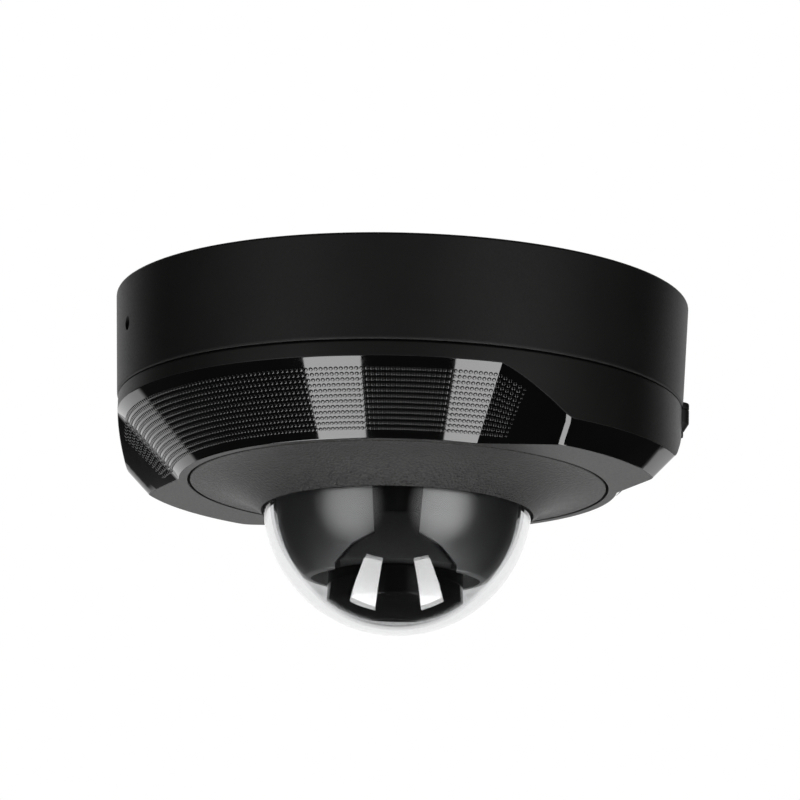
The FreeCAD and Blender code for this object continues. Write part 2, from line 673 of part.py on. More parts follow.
def blend_tool(side, inset):
    """Everything outside the flat blend, within the stretch of rim that it covers."""
    crease_top = at(COVER_R, side * FACET_HALF, FACET_TOP_Z)
    crease_low = at(FACET_LOW_R, side * FACET_HALF, COVER_LOW_Z)
    far_low = at(SIDE_LOW_R, side * (FACET_HALF + BLEND_SPAN), COVER_LOW_Z)
    normal = (crease_low - crease_top).cross(far_low - crease_low)
    normal.normalize()
    if normal.z > 0:
        normal = -normal
    origin = crease_low - normal * inset
    along = (far_low - crease_low).normalize()
    across = normal.cross(along)
    corners = [origin + along * a + across * b
               for a, b in ((-80, -80), (80, -80), (80, 80), (-80, 80))]
    slab = Part.Face(Part.makePolygon(corners + corners[:1])).extrude(normal * 40)
    wedge = revolve([(25, SEAM_Z + 1), (80, SEAM_Z + 1), (80, COVER_LOW_Z - 1),
                     (25, COVER_LOW_Z - 1)], 32)
    turn = -90 + FACET_HALF if side > 0 else -90 - FACET_HALF - 32
    wedge.rotate(CENTRE, UP, turn)
    return slab.common(wedge)


def front_cover():
    body = faceted_drum(0).cut(faceted_drum(WALL))
    body = body.cut(Part.makeCylinder(TRIM_SEAT_R, 6, V(0, 0, COVER_LOW_Z - 1)))
    body = body.fuse([ring(LEDGE_INNER_R, FACET_LOW_R + 0.6, LEDGE_Z),
                      ring(RIM_R[0], RIM_R[1], (-33.0, RIM_TOP_Z))])
    shelf = ring(SPIGOT_R[0], COVER_R - 1, (SHELF_Z, SEAM_Z))
    spigot = ring(SPIGOT_R[0], SPIGOT_R[1], (SHELF_Z, SPIGOT_TOP_Z))
    spigot = spigot.cut(ring(SPIGOT_R[0] + 0.4, 53, (SEAL_Z - 0.75, SEAL_Z + 0.75)))
    body = body.fuse([shelf, spigot])
    body = body.fuse([cover_lug(), rod(at(*TAMPER_AT), BUTTON_R + 0.1, (-33.8, -24.3))])
    body = body.cut([rod(at(LOCK_PCD_R, LUG_BEARING), LOCK_SHANK_R + 0.08, (-30, -15)),
                     rod(at(LOCK_PCD_R, LUG_BEARING), LOCK_HEAD_R + 0.1, (-30, LOCK_HEAD_Z))])
    return body.cut([rod(at(CLAMP_PCD_R, b), 0.98, (-33.3, -29)) for b in CLAMP_BEARINGS])


def cover_lug():
    """Half-round lug that tapers into the wall, with a pad inside for the locking screw."""
    point = at(LUG_PCD_R, LUG_BEARING)
    barrel = rod(point, LUG_R, (LUG_LOW_Z + 1.6, SEAM_Z - 0.05))
    tip = Part.makeCone(0.9, LUG_R, 1.6, V(point.x, point.y, LUG_LOW_Z))
    pad = rod(at(LOCK_PCD_R - 0.3, LUG_BEARING), 2.4, (-25.2, SEAM_Z))
    pad = pad.common(faceted_drum(0))
    return barrel.fuse([tip, pad])


def locking_screw():
    point = at(LOCK_PCD_R, LUG_BEARING)
    return screw(point, LOCK_HEAD_Z, LOCK_HEAD_R, 1.2, LOCK_SHANK_R, 6.4, 0.6)


def cover_seal():
    ring_r = SPIGOT_R[0] + 0.4 + SEAL_SECTION_R
    return Part.makeTorus(ring_r, SEAL_SECTION_R, V(0, 0, SEAL_Z))


def trim_ring():
    """Flared ring that leads from the flat face down to the dome."""
    centre_z = COVER_LOW_Z - TRIM_ARC_R

    def arc_z(radius, r):
        return centre_z + math.sqrt(radius ** 2 - (TRIM_R - r) ** 2)

    def edge(radius, r_from, r_to):
        mid = (r_from + r_to) / 2
        points = [V(r, 0, arc_z(radius, r)) for r in (r_from, mid, r_to)]
        return Part.Arc(*points).toShape()

    outer_low = V(TRIM_INNER_R, 0, arc_z(TRIM_ARC_R, TRIM_INNER_R))
    outer_rim = V(TRIM_R, 0, COVER_LOW_Z)
    rim_top = V(TRIM_R, 0, COVER_LOW_Z + TRIM_T)
    flat_in = V(TRIM_STEP_R, 0, COVER_LOW_Z + TRIM_T)
    back = TRIM_ARC_R + TRIM_T
    step = V(TRIM_STEP_R, 0, arc_z(back, TRIM_STEP_R))
    inner_top = V(TRIM_INNER_R, 0, arc_z(back, TRIM_INNER_R))
    edges = [edge(TRIM_ARC_R, TRIM_R, TRIM_INNER_R),
             Part.LineSegment(outer_low, inner_top).toShape(),
             edge(back, TRIM_INNER_R, TRIM_STEP_R),
             Part.LineSegment(step, flat_in).toShape(),
             Part.LineSegment(flat_in, rim_top).toShape(),
             Part.LineSegment(rim_top, outer_rim).toShape()]
    face = Part.Face(Part.Wire(Part.__sortEdges__(edges)))
    return face.revolve(CENTRE, UP, 360)


def trim_adhesive():
    return ring(TRIM_STEP_R + 0.4, TRIM_R - 0.36, (COVER_LOW_Z + TRIM_T, LEDGE_Z[0]))


def dome_bubble():
    """Clear hemisphere with a short neck and a flange."""
    half = box((-40, 40), (-40, 40), (-70, PIVOT_Z))
    shell = ball(DOME_R).cut(ball(DOME_INNER_R)).common(half)
    neck = ring(DOME_INNER_R, DOME_R, (PIVOT_Z, FLANGE_Z[1]))
    flange = ring(DOME_R - 0.5, FLANGE_R, FLANGE_Z)
    return shell.fuse([neck, flange])


def dome_gasket():
    return ring(LEDGE_INNER_R + 0.4, FLANGE_R - 0.2, (LEDGE_Z[1], FLANGE_Z[0]))


def dome_clamp():
    body = ring(LEDGE_INNER_R - 0.2, RIM_R[1] - 0.2, CLAMP_Z)
    return body.cut([rod(at(CLAMP_PCD_R, b), 1.1, (-32, -28)) for b in CLAMP_BEARINGS])


def clamp_screws():
    """Screws from above, through the clamp ring into the cover's rim."""
    screws = []
    for bearing in CLAMP_BEARINGS:
        point = at(CLAMP_PCD_R, bearing)
        head = rod(point, 1.9, (CLAMP_Z[1], CLAMP_Z[1] + 1.2))
        shank = rod(point, 0.95, (-33.1, CLAMP_Z[1]))
        recess = rod(point, 0.55, (CLAMP_Z[1] + 0.5, CLAMP_Z[1] + 2))
        screws.append(head.fuse(shank).cut(recess))
    return group(screws)


PARTS = {
    "base_housing": base_housing,
    "ceiling_gasket": ceiling_gasket,
    "cable_grommet": cable_grommet,
    "microphone": microphone,
    "microphone_boot": microphone_boot,
    "chassis_plate": chassis_plate,
    "chassis_screws": chassis_screws,
    "main_board": main_board,
    "board_screws": board_screws,
    "network_jack": network_jack,
    "jack_contacts": jack_contacts,
    "processor_chip": processor_chip,
    "thermal_pad": thermal_pad,
    "memory_chips": memory_chips,
    "power_transformer": power_transformer,
    "capacitors": capacitors,
    "ribbon_connector": ribbon_connector,
    "card_slot": card_slot,
    "memory_card": memory_card,
    "reset_switch": lambda: switch_body(RESET_AT),
    "reset_button": lambda: button_cap(RESET_AT, -20.6),
    "tamper_switch": lambda: switch_body(TAMPER_AT),
    "tamper_plunger": lambda: button_cap(TAMPER_AT, -24.0),
    "pan_turntable": pan_turntable,
    "pan_retainer": pan_retainer,
    "pan_friction_ring": pan_friction_ring,
    "pan_yoke": pan_yoke,
    "yoke_screws": yoke_screws,
    "inner_liner": inner_liner,
    "liner_screws": liner_screws,
    "tilt_cradle": tilt_cradle,
    "tilt_pivots": tilt_pivots,
    "camera_hood": camera_hood,
    "head_shell": head_shell,
    "roll_retainer": roll_retainer,
    "front_cap": front_cap,
    "sensor_board": sensor_board,
    "image_sensor": image_sensor,
    "lens_holder": lens_holder,
    "filter_glass": filter_glass,
    "lens_barrel": lens_barrel,
    "lens_front_glass": lens_front_glass,
    "lens_inner_glasses": lens_inner_glasses,
    "ir_board": ir_board,
    "ir_leds": ir_leds,
    "light_shield": light_shield,
    "front_cover": front_cover,
    "cover_seal": cover_seal,
    "locking_screw": locking_screw,
    "trim_ring": trim_ring,
    "trim_adhesive": trim_adhesive,
    "dome_bubble": dome_bubble,
    "dome_gasket": dome_gasket,
    "dome_clamp": dome_clamp,
    "clamp_screws": clamp_screws,
}

os.makedirs("parts", exist_ok=True)
for name, make in PARTS.items():
    shape = make()
    shape.exportStep(os.path.join("parts", name + ".step"))
    print(name, len(shape.Solids), shape.isValid(), round(shape.Volume, 1))
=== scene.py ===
"""Looks of the ceiling dome camera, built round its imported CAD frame.

Lengths are written in millimetres and turned into metres when a mesh is made.  The origin is
the centre of the ceiling face and +Z is up, so the camera hangs below it.  A bearing is an
angle about +Z from -Y towards +X.
"""
import math

import bpy
import bmesh
from mathutils import Matrix, Vector


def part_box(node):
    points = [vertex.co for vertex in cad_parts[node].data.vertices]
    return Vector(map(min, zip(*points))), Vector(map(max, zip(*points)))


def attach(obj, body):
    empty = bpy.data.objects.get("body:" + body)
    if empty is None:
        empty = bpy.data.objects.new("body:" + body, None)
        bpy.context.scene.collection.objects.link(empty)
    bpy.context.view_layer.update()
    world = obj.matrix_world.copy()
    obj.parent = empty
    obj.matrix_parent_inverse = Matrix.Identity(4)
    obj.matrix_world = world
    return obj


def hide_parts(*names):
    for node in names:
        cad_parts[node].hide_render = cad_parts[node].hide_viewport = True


MM = 0.001
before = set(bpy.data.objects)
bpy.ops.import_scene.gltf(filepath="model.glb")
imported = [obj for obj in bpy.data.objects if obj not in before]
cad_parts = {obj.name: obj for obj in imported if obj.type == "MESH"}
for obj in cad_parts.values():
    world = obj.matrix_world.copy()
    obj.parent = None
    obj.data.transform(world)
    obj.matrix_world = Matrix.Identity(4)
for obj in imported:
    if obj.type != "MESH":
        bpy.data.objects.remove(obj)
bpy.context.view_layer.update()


def cad(node):
    """Lowest and highest corner of a CAD node in millimetres."""
    low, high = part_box(node)
    return low / MM, high / MM


# ---- sizes taken from the frame ----------------------------------------------------
BASE_HIGH = cad("base_housing")[1]
COVER_LOW = cad("front_cover")[0]
TRIM_HIGH = cad("trim_ring")[1]
DOME_LOW = cad("dome_bubble")[0]
CAP_HIGH = cad("front_cap")[1]
LINER_LOW, LINER_HIGH = cad("inner_liner")
PIVOT_LOW, PIVOT_HIGH = cad("tilt_pivots")


# The sizes below repeat part.py where a box alone doesn't give them.
BASE_TOP_R = BASE_HIGH.y
SEAM_R = BASE_TOP_R - 0.8
SEAM_Z = -20.0
LUG_BEARING = 88.0
MIC_BEARING = -72.0
MIC_Z = -9.2
MIC_R = 1.35

COVER_R = 54.0             # wall below the seam
COVER_LOW_Z = COVER_LOW.z
FACET_TOP_Z = -23.05
FACET_LOW_R = 41.9
SIDE_TOP_Z = -31.55
SIDE_LOW_R = 50.1
FACET_CENTRES = (-34.2, 145.8)   # bearings of the middles of the two wide facets
FACET_HALF = 54.3          # half the angle that a wide facet spans
BLEND_SPAN = 16.6          # angle that the flat beside it spans
TRIM_SEAT_R = 40.25
WALL = 2.2

TILT_Z = (PIVOT_LOW.z + PIVOT_HIGH.z) / 2
DOME_R = TILT_Z - DOME_LOW.z
DOME_WALL = 2.0
DOME_INNER_R = DOME_R - DOME_WALL
TRIM_R = TRIM_HIGH.x
TRIM_ARC_R = 19.8          # hollow flare of the trim ring
TRIM_INNER_R = 26.0
TRIM_BACK_R = 36.0         # where the flare's back meets its flat seat
TRIM_T = TRIM_HIGH.z - COVER_LOW_Z
CAP_R = CAP_HIGH.x
CAP_TOP_Z = CAP_HIGH.z
CAP_SPHERE_R = 23.3
LENS_BORE_R = 4.6
LINER_R = (22.1, LINER_HIGH.x)   # inside, outside
LINER_CUT_Z = LINER_LOW.z
HOOD_EDGE = ((4.8, -36.0), (3.85, -48.9), (7.85, -50.8), (10.85, -53.6))  # half width, z
SLOT_GAP = 0.25            # between the hood and the liner's cheeks
WINDOW_HALF_W = 13.2       # opening at the liner's back
WINDOW_TOP_Z = -30.2
BARREL_Z = (-59.4, -44.0)


# ---- small mesh tools --------------------------------------------------------------
SHARP_ANGLE = 32.0
MERGE_GAP = 2e-7           # metres
NO_LENGTH = 1e-7           # metres


def at(radius, bearing, z=0.0):
    """Point at a radius and a bearing."""
    a = math.radians(bearing)
    return Vector((radius * math.sin(a), -radius * math.cos(a), z))


def piece(name, verts, faces, material, body, nodes, sharp=SHARP_ANGLE):
    """Mesh from millimetre points, closed up, shaded smooth and tied to the frame."""
    mesh = bpy.data.meshes.new(name)
    mesh.from_pydata([Vector(v) * MM for v in verts], [], faces)
    clean(mesh)
    return dress(mesh, name, material, body, nodes, sharp)


def clean(mesh):
    """Merges doubled points and turns the faces outwards."""
    work = bmesh.new()
    work.from_mesh(mesh)
    bmesh.ops.remove_doubles(work, verts=work.verts, dist=MERGE_GAP)
    bmesh.ops.dissolve_degenerate(work, edges=work.edges, dist=NO_LENGTH)
    bmesh.ops.recalc_face_normals(work, faces=work.faces)
    work.to_mesh(mesh)
    work.free()


def dress(mesh, name, material, body, nodes, sharp):
    """Makes the mesh a piece with its material, its body and the CAD nodes it stands for."""
    ob = bpy.data.objects.new(name, mesh)
    bpy.context.scene.collection.objects.link(ob)
    mesh.materials.clear()
    mesh.materials.append(material)
    smooth(mesh, sharp)
    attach(ob, body)
    if nodes:
        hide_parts(*nodes)
    return ob


def smooth(mesh, sharp=SHARP_ANGLE):
    mesh.shade_smooth()
    mesh.set_sharp_from_angle(angle=math.radians(sharp))


def even_shading(ob):
    """Keeps broad faces flat-looking beside their small rounded edges."""
    even = ob.modifiers.new("even", "WEIGHTED_NORMAL")
    even.keep_sharp = True
    even.weight = 90


def grid(columns):
    """Points and quads of a grid of equally long columns, closed both ways."""
    count = len(columns[0])
    verts = [p for column in columns for p in column]
    faces = []
    for i in range(len(columns)):
        a, b = i * count, ((i + 1) % len(columns)) * count
        for j in range(count):
            k = (j + 1) % count
            faces.append((a + j, b + j, b + k, a + k))
    return verts, faces


def lathe(profile, columns=192):
    """Closed (radius, z) outline turned about Z."""
    return grid([[at(r, 360.0 * i / columns, z) for r, z in profile] for i in range(columns)])


SMALLEST_HALF_ANGLE = 0.01   # radians, of a corner that is rounded
LONGEST_REACH = 0.48         # share of an edge that one corner's arc may take


def rounded(outline, steps=4):
    """(x, y, radius) corners of a closed outline, each replaced by an arc."""
    points = []
    count = len(outline)
    for i, (x, y, radius) in enumerate(outline):
        if radius <= 0:
            points.append((x, y))
            continue
        here = Vector((x, y))
        back = Vector(outline[i - 1][:2]) - here
        ahead = Vector(outline[(i + 1) % count][:2]) - here
        half = max(back.angle(ahead) / 2, SMALLEST_HALF_ANGLE)
        longest = LONGEST_REACH * min(back.length, ahead.length)
        reach = min(radius / math.tan(half), longest)
        start, end = here + back.normalized() * reach, here + ahead.normalized() * reach
        for s in range(steps + 1):
            t = s / steps
            bow = start * (1 - t) ** 2 + here * 2 * t * (1 - t) + end * t ** 2
            points.append(tuple(bow))
    return points


def between(start, corners, end):
    """Rounded corners of an open stretch that runs from one outline point to another."""
    return rounded([(*start, 0.0), *corners, (*end, 0.0)])[1:-1]


def arc(centre_z, radius, r_from, r_to, steps, centre_r=0.0, half=-1):
    """(r, z) points on a circle's lower (-1) or upper (1) half, from one r to another."""
    points = []
    for s in range(steps + 1):
        r = r_from + (r_to - r_from) * s / steps
        rise = math.sqrt(max(radius ** 2 - (r - centre_r) ** 2, 0))
        points.append((r, centre_z + half * rise))
    return points


def polar_arc(centre_z, radius, angle_from, angle_to, steps):
    """(r, z) points on a circle about the axis, by angle from straight down."""
    points = []
    for s in range(steps + 1):
        a = math.radians(angle_from + (angle_to - angle_from) * s / steps)
        points.append((radius * math.sin(a), centre_z - radius * math.cos(a)))
    return points


# ---- materials ---------------------------------------------------------------------
NOISE_SPAN = (0.3, 0.7)    # where most of a noise texture's values lie
MOTTLE_SCALE = 90.0        # features per metre, as the other scales here
HAZE_SCALE = 160.0
DRAWN_LINE_SCALE = 900.0
DRAWN_LINE_DEPTH = 0.006   # millimetres
HAZE_SHARE = 0.97
SHADOW_SHARE = 0.92        # light that a clear wall lets into what it covers
MIX_COLOUR_A, MIX_COLOUR_B, MIX_COLOUR_OUT = 6, 7, 2   # a Mix node's colour sockets


def shader(name, **settings):
    """New node material; returns it with its node tree and Principled shader."""
    material = bpy.data.materials.new(name)
    material.use_nodes = True
    tree = material.node_tree
    principled = tree.nodes["Principled BSDF"]
    for socket, value in settings.items():
        principled.inputs[socket.replace("_", " ")].default_value = value
    return material, tree, principled


def object_noise(tree, scale, detail=3.0, stretch=(1, 1, 1)):
    """Noise fixed to the object, with its scale in features per metre."""
    where = tree.nodes.new("ShaderNodeTexCoord")
    mapping = tree.nodes.new("ShaderNodeMapping")
    mapping.inputs["Scale"].default_value = stretch
    texture = tree.nodes.new("ShaderNodeTexNoise")
    texture.inputs["Scale"].default_value = scale
    texture.inputs["Detail"].default_value = detail
    tree.links.new(where.outputs["Object"], mapping.inputs["Vector"])
    tree.links.new(mapping.outputs["Vector"], texture.inputs["Vector"])
    return texture.outputs["Fac"]


def remap(tree, value, span, low, high):
    """Map Range node from a span of values to another."""
    node = tree.nodes.new("ShaderNodeMapRange")
    for socket, amount in zip(("From Min", "From Max", "To Min", "To Max"), (*span, low, high)):
        node.inputs[socket].default_value = amount
    tree.links.new(value, node.inputs["Value"])
    return node


def colours(tree, value, stops):
    """Colour ramp through (position, colour) stops."""
    ramp = tree.nodes.new("ShaderNodeValToRGB")
    elements = ramp.color_ramp.elements
    while len(elements) < len(stops):
        elements.new(0.5)
    for element, (position, colour) in zip(elements, stops):
        element.position = position
        element.color = (*colour, 1)
    tree.links.new(value, ramp.inputs["Fac"])
    return ramp.outputs["Color"]


def tint(tree, noise, dark, light):
    return colours(tree, noise, list(zip(NOISE_SPAN, (dark, light))))


def bump(tree, principled, height, distance):
    """Relief from a height texture, with its depth in millimetres."""
    node = tree.nodes.new("ShaderNodeBump")
    node.inputs["Distance"].default_value = distance * MM
    node.inputs["Strength"].default_value = 1.0
    tree.links.new(height, node.inputs["Height"])
    tree.links.new(node.outputs["Normal"], principled.inputs["Normal"])


def moulded(name, dark, light, rough=(0.4, 0.5), grain=2200.0, depth=0.012, speckled=False,
            **settings):
    """Moulded or machined finish: mottled colour, uneven gloss and a fine grain."""
    material, tree, principled = shader(name, **settings)
    fine = object_noise(tree, grain, 4.0)
    mottle = fine if speckled else object_noise(tree, MOTTLE_SCALE)
    gloss = remap(tree, fine, NOISE_SPAN, *rough)
    tree.links.new(tint(tree, mottle, dark, light), principled.inputs["Base Color"])
    tree.links.new(gloss.outputs["Result"], principled.inputs["Roughness"])
    bump(tree, principled, fine, depth)
    return material


def grey(level, warm=0.0):
    """Grey colour; warm moves it from blue towards red."""
    return (level * (1 + warm), level, level * (1 - warm))


def brushed(name, level, rough, stretch):
    """Metal with fine drawn lines."""
    material, tree, principled = shader(name, Metallic=1.0)
    lines = object_noise(tree, DRAWN_LINE_SCALE, 2.0, stretch)
    shade = tint(tree, lines, grey(level * 0.8), grey(level))
    gloss = remap(tree, lines, NOISE_SPAN, rough * 0.8, rough * 1.3)
    tree.links.new(shade, principled.inputs["Base Color"])
    tree.links.new(gloss.outputs["Result"], principled.inputs["Roughness"])
    bump(tree, principled, lines, DRAWN_LINE_DEPTH)
    return material


# How slantwise the surface is seen, and the share of light that is left there: partly the longer
# path through the plastic, partly painted shade on the dome's outline.
RIM_TINT_AND_PAINTED_SHADE = ((0.50, 1.0), (0.65, 0.86), (0.90, 0.80), (1.0, 0.20))


def thick_rim_and_painted_shade(tree, colour):
    """Darkens a colour where one looks along a wall: partly for the longer path through the
    plastic, partly as painted shade that gives the dome's outline its darker edge.
    """
    weight = tree.nodes.new("ShaderNodeLayerWeight")
    weight.inputs["Blend"].default_value = 0.5
    stops = [(facing, grey(share)) for facing, share in RIM_TINT_AND_PAINTED_SHADE]
    mix = tree.nodes.new("ShaderNodeMix")
    mix.data_type, mix.blend_type = "RGBA", "MULTIPLY"
    mix.inputs["Factor"].default_value = 1.0
    tree.links.new(colour, mix.inputs[MIX_COLOUR_A])
    tree.links.new(colours(tree, weight.outputs["Facing"], stops), mix.inputs[MIX_COLOUR_B])
    return mix.outputs[MIX_COLOUR_OUT]


def clear(name, colour, rough, ior, rim=False):
    """Clear plastic or glass that lets the lamps through."""
    material, tree, principled = shader(name, Transmission_Weight=1.0, IOR=ior, Roughness=rough)
    dim = tuple(HAZE_SHARE * c for c in colour)
    shade = tint(tree, object_noise(tree, HAZE_SCALE), dim, colour)
    # With rim set, the colour darkens towards the outline, and part of that darkening is painted
    # shade.
    shade = thick_rim_and_painted_shade(tree, shade) if rim else shade
    tree.links.new(shade, principled.inputs["Base Color"])
    path = tree.nodes.new("ShaderNodeLightPath")
    through = tree.nodes.new("ShaderNodeBsdfTransparent")
    through.inputs["Color"].default_value = (*[SHADOW_SHARE * c for c in colour], 1)
    mix = tree.nodes.new("ShaderNodeMixShader")
    tree.links.new(path.outputs["Is Shadow Ray"], mix.inputs["Fac"])
    tree.links.new(principled.outputs["BSDF"], mix.inputs[1])
    tree.links.new(through.outputs["BSDF"], mix.inputs[2])
    tree.links.new(mix.outputs["Shader"], tree.nodes["Material Output"].inputs["Surface"])
    return material


HOUSING = moulded("housing_black", grey(0.005, 0.04), grey(0.008, 0.04), (0.50, 0.60),
                  2600.0, 0.014)
COVER = moulded("cover_satin", grey(0.009, 0.05), grey(0.013, 0.05), (0.44, 0.54), 2600.0, 0.008,
                Specular_IOR_Level=0.45)
GLOSS = moulded("facet_gloss", grey(0.0025), grey(0.0035), (0.03, 0.05), 300.0, 0.0004)
TRIM = moulded("trim_blasted", grey(0.0002, 0.02), grey(0.044, 0.02), (0.36, 0.60),
               2100.0, 0.38, True, Specular_IOR_Level=0.25)
LINER = moulded("liner_dark", grey(0.18), grey(0.21), (0.32, 0.38), 1500.0, 0.004,
                Metallic=1.0, Specular_Tint=(0.4, 0.4, 0.4, 1.0))
HOOD = moulded("hood_matt", grey(0.003), grey(0.005), (0.66, 0.8), 2400.0, 0.02,
               Specular_IOR_Level=0.2)
CAP = moulded("cap_gloss", grey(0.0020), grey(0.0035), (0.04, 0.07), 400.0, 0.0006,
              Specular_IOR_Level=0.15)
PLASTIC = moulded("plastic_black", grey(0.010), grey(0.016), (0.4, 0.52), 2000.0, 0.012)
BARREL = moulded("barrel_black", grey(0.006), grey(0.010), (0.3, 0.42), 1800.0, 0.008)
RUBBER = moulded("soft_rubber", grey(0.012), grey(0.020), (0.62, 0.78), 1400.0, 0.02)
FOAM = moulded("foam", grey(0.020), grey(0.050), (0.85, 0.95), 1100.0, 0.12)
CHIP = moulded("chip_black", grey(0.018), grey(0.026), (0.5, 0.62), 2600.0, 0.012)
CARD = moulded("card_black", grey(0.012), grey(0.020), (0.35, 0.45), 1600.0, 0.006)
BUTTON = moulded("button_grey", grey(0.16), grey(0.20), (0.42, 0.52), 1500.0, 0.01)
WHITE = moulded("connector_white", (0.62, 0.60, 0.54), (0.70, 0.68, 0.62), (0.38, 0.48),
                1500.0, 0.006)
SLICK = moulded("low_friction", (0.60, 0.60, 0.57), (0.70, 0.70, 0.67), (0.34, 0.46),
                1500.0, 0.008)
PAD = moulded("thermal_grey", (0.22, 0.25, 0.28), (0.30, 0.33, 0.36), (0.7, 0.82), 900.0, 0.03)
TAPE = moulded("adhesive", grey(0.05), grey(0.09), (0.7, 0.85), 900.0, 0.02)
BOARD = moulded("circuit_board", (0.008, 0.075, 0.030), (0.014, 0.120, 0.048), (0.3, 0.44),
                700.0, 0.02)
SENSOR = moulded("sensor_dark", (0.02, 0.02, 0.035), (0.035, 0.03, 0.05), (0.08, 0.14),
                 500.0, 0.001)
CAST = moulded("cast_metal", grey(0.34), grey(0.44), (0.36, 0.52), 1300.0, 0.03, Metallic=1.0)
CAN = brushed("can_metal", 0.62, 0.28, (1, 1, 6))
SHELL = brushed("jack_shell", 0.70, 0.30, (6, 1, 1))
STEEL = brushed("screw_steel", 0.46, 0.30, (1, 1, 8))
SPRING = brushed("spring_steel", 0.50, 0.24, (1, 1, 8))
MIC = brushed("mic_metal", 0.60, 0.32, (1, 1, 4))
GOLD = moulded("gold", (0.80, 0.52, 0.20), (0.90, 0.62, 0.28), (0.2, 0.3), 1500.0, 0.004,
               Metallic=1.0)
DOME_COLOUR = (0.96, 0.965, 0.97)
# The outer skin darkens towards its outline, and part of that darkening is painted shade.
DOME = clear("dome_clear", DOME_COLOUR, 0.0, 1.49, True)
DOME_INSIDE = clear("dome_clear_inside", DOME_COLOUR, 0.0, 1.49)
# Pale grey inner skin of the liner, far lighter than its dark outside: painted light, standing in
# for the light that the inside of the cheeks catches.
LINER_INSIDE_PAINTED_LIGHT = moulded("liner_inside_painted_light", grey(0.60), grey(0.80), (0.5, 0.65), 2600.0, 0.05, True)
LENS = clear("lens_glass", (0.72, 0.66, 0.86), 0.0, 1.6)
FILTER = clear("filter_blue", (0.62, 0.80, 0.86), 0.02, 1.5)
LED = clear("led_clear", (0.90, 0.92, 0.96), 0.02, 1.5)
FINISH = {
    "housing_black": HOUSING, "cover_black": COVER, "trim_blasted": TRIM, "dome_clear": DOME,
    "liner_dark": LINER, "hood_matt": HOOD, "cap_gloss": CAP, "lens_glass": LENS,
    "soft_rubber": RUBBER, "foam": FOAM, "screw_steel": STEEL, "cast_metal": CAST,
    "circuit_board": BOARD, "plastic_black": PLASTIC, "can_metal": CAN, "jack_shell": SHELL,
    "filter_blue": FILTER, "sensor_dark": SENSOR, "barrel_black": BARREL, "led_clear": LED,
    "gold": GOLD, "card_black": CARD, "chip_black": CHIP, "mic_metal": MIC,
    "low_friction": SLICK, "spring_steel": SPRING, "transformer_black": CHIP,
    "button_grey": BUTTON, "connector_white": WHITE, "thermal_grey": PAD, "adhesive": TAPE,
}


WELD_GAP = 2e-6            # metres
NODE_EDGE_R = 0.12
NODE_EDGE_ANGLE = 40.0
LINER_EDGE_R = 0.14
LINER_EDGE_ANGLE = 50.0


def round_edges(ob, radius, angle):
    edge = ob.modifiers.new("edge", "BEVEL")
    edge.width, edge.segments = radius * MM, 2
    edge.limit_method, edge.angle_limit = "ANGLE", math.radians(angle)
    return edge


def dress_frame():
    """Gives each CAD node its finish and a small rounding on its edges."""
    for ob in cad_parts.values():
        slot = ob.material_slots[0].name
        ob.material_slots[0].material = FINISH[slot]
        weld = ob.modifiers.new("weld", "WELD")
        weld.merge_threshold = WELD_GAP
        edge = round_edges(ob, NODE_EDGE_R, NODE_EDGE_ANGLE)
        edge.harden_normals = True
        edge.use_clamp_overlap = True


# ---- front cover -------------------------------------------------------------------
def cone_r(z):
    """Radius of the wide facets, which lie on one cone."""
    return COVER_R - (FACET_TOP_Z - z) * (COVER_R - FACET_LOW_R) / (FACET_TOP_Z - COVER_LOW_Z)


def side_r(z):
    """Radius of the narrow chamfers at the sides."""
    return COVER_R - (SIDE_TOP_Z - z) * (COVER_R - SIDE_LOW_R) / (SIDE_TOP_Z - COVER_LOW_Z)


def flat_blend(side):
    """Normal and offset of the flat beside a wide facet whose middle is at bearing 0."""
    top = at(COVER_R, side * FACET_HALF, FACET_TOP_Z)
    low = at(FACET_LOW_R, side * FACET_HALF, COVER_LOW_Z)
    far = at(SIDE_LOW_R, side * (FACET_HALF + BLEND_SPAN), COVER_LOW_Z)
    normal = (low - top).cross(far - low).normalized()
    normal = -normal if normal.z > 0 else normal
    return normal, normal.dot(low)


FLATS = {side: flat_blend(side) for side in (-1, 1)}
CREASE_SOFTNESS = 1.3      # how broadly the flat rolls over into the side chamfer
CREASE_HALF = 0.16         # half the angle of the small round on the sharp crease
FLAT_REACH = 2.2           # blend spans past the facet where the flat is certainly over
HALVINGS = 40


def local_bearing(bearing):
    """Bearing from the middle of the nearer wide facet."""
    options = [(bearing - c + 180) % 360 - 180 for c in FACET_CENTRES]
    return min(options, key=abs)


def flat_r(local, z):
    """Radius of the flat beside a wide facet."""
    normal, offset = FLATS[1 if local > 0 else -1]
    return (offset - normal.z * z) / normal.dot(at(1, local))


def chamfer_r(local, z):
    """Radius of the cover's sloping surface, before the wall cuts it off."""
    if abs(local) <= FACET_HALF:
        return cone_r(z)
    if abs(local) > FACET_HALF + FLAT_REACH * BLEND_SPAN:
        return side_r(z)
    a, b = side_r(z), flat_r(local, z)
    h = max(CREASE_SOFTNESS - abs(a - b), 0) / CREASE_SOFTNESS
    return min(a, b) - h * h * CREASE_SOFTNESS / 4


def chamfer_top(local):
    """Height at which the sloping surface meets the wall."""
    low, high = COVER_LOW_Z, FACET_TOP_Z + 1
    for _ in range(HALVINGS):
        mid = (low + high) / 2
        if chamfer_r(local, mid) > COVER_R:
            high = mid
        else:
            low = mid
    return low


SHELF_Z = (-34.0, -32.4)   # ring inside the cover that holds the trim, dome and clamp
SHELF_INNER_R = 26.2
CLAMP_RIM_R = (31.6, 36.5)
CLAMP_RIM_Z = -30.2
SLOPE_FOOT_R = 42.5        # where the shelf meets the inside of the slope
SLOPE_FOOT_RISE = 2.35
SLOPE_WALL = 3.0
SLOPE_TOP_RISE = 0.85
SPIGOT_R = (49.9, 51.5)    # collar that slides into the housing
SPIGOT_Z = (-22.2, -17.0)
SEAL_GROOVE_R = 50.3
SEAL_GROOVE_Z = (-19.25, -17.75)


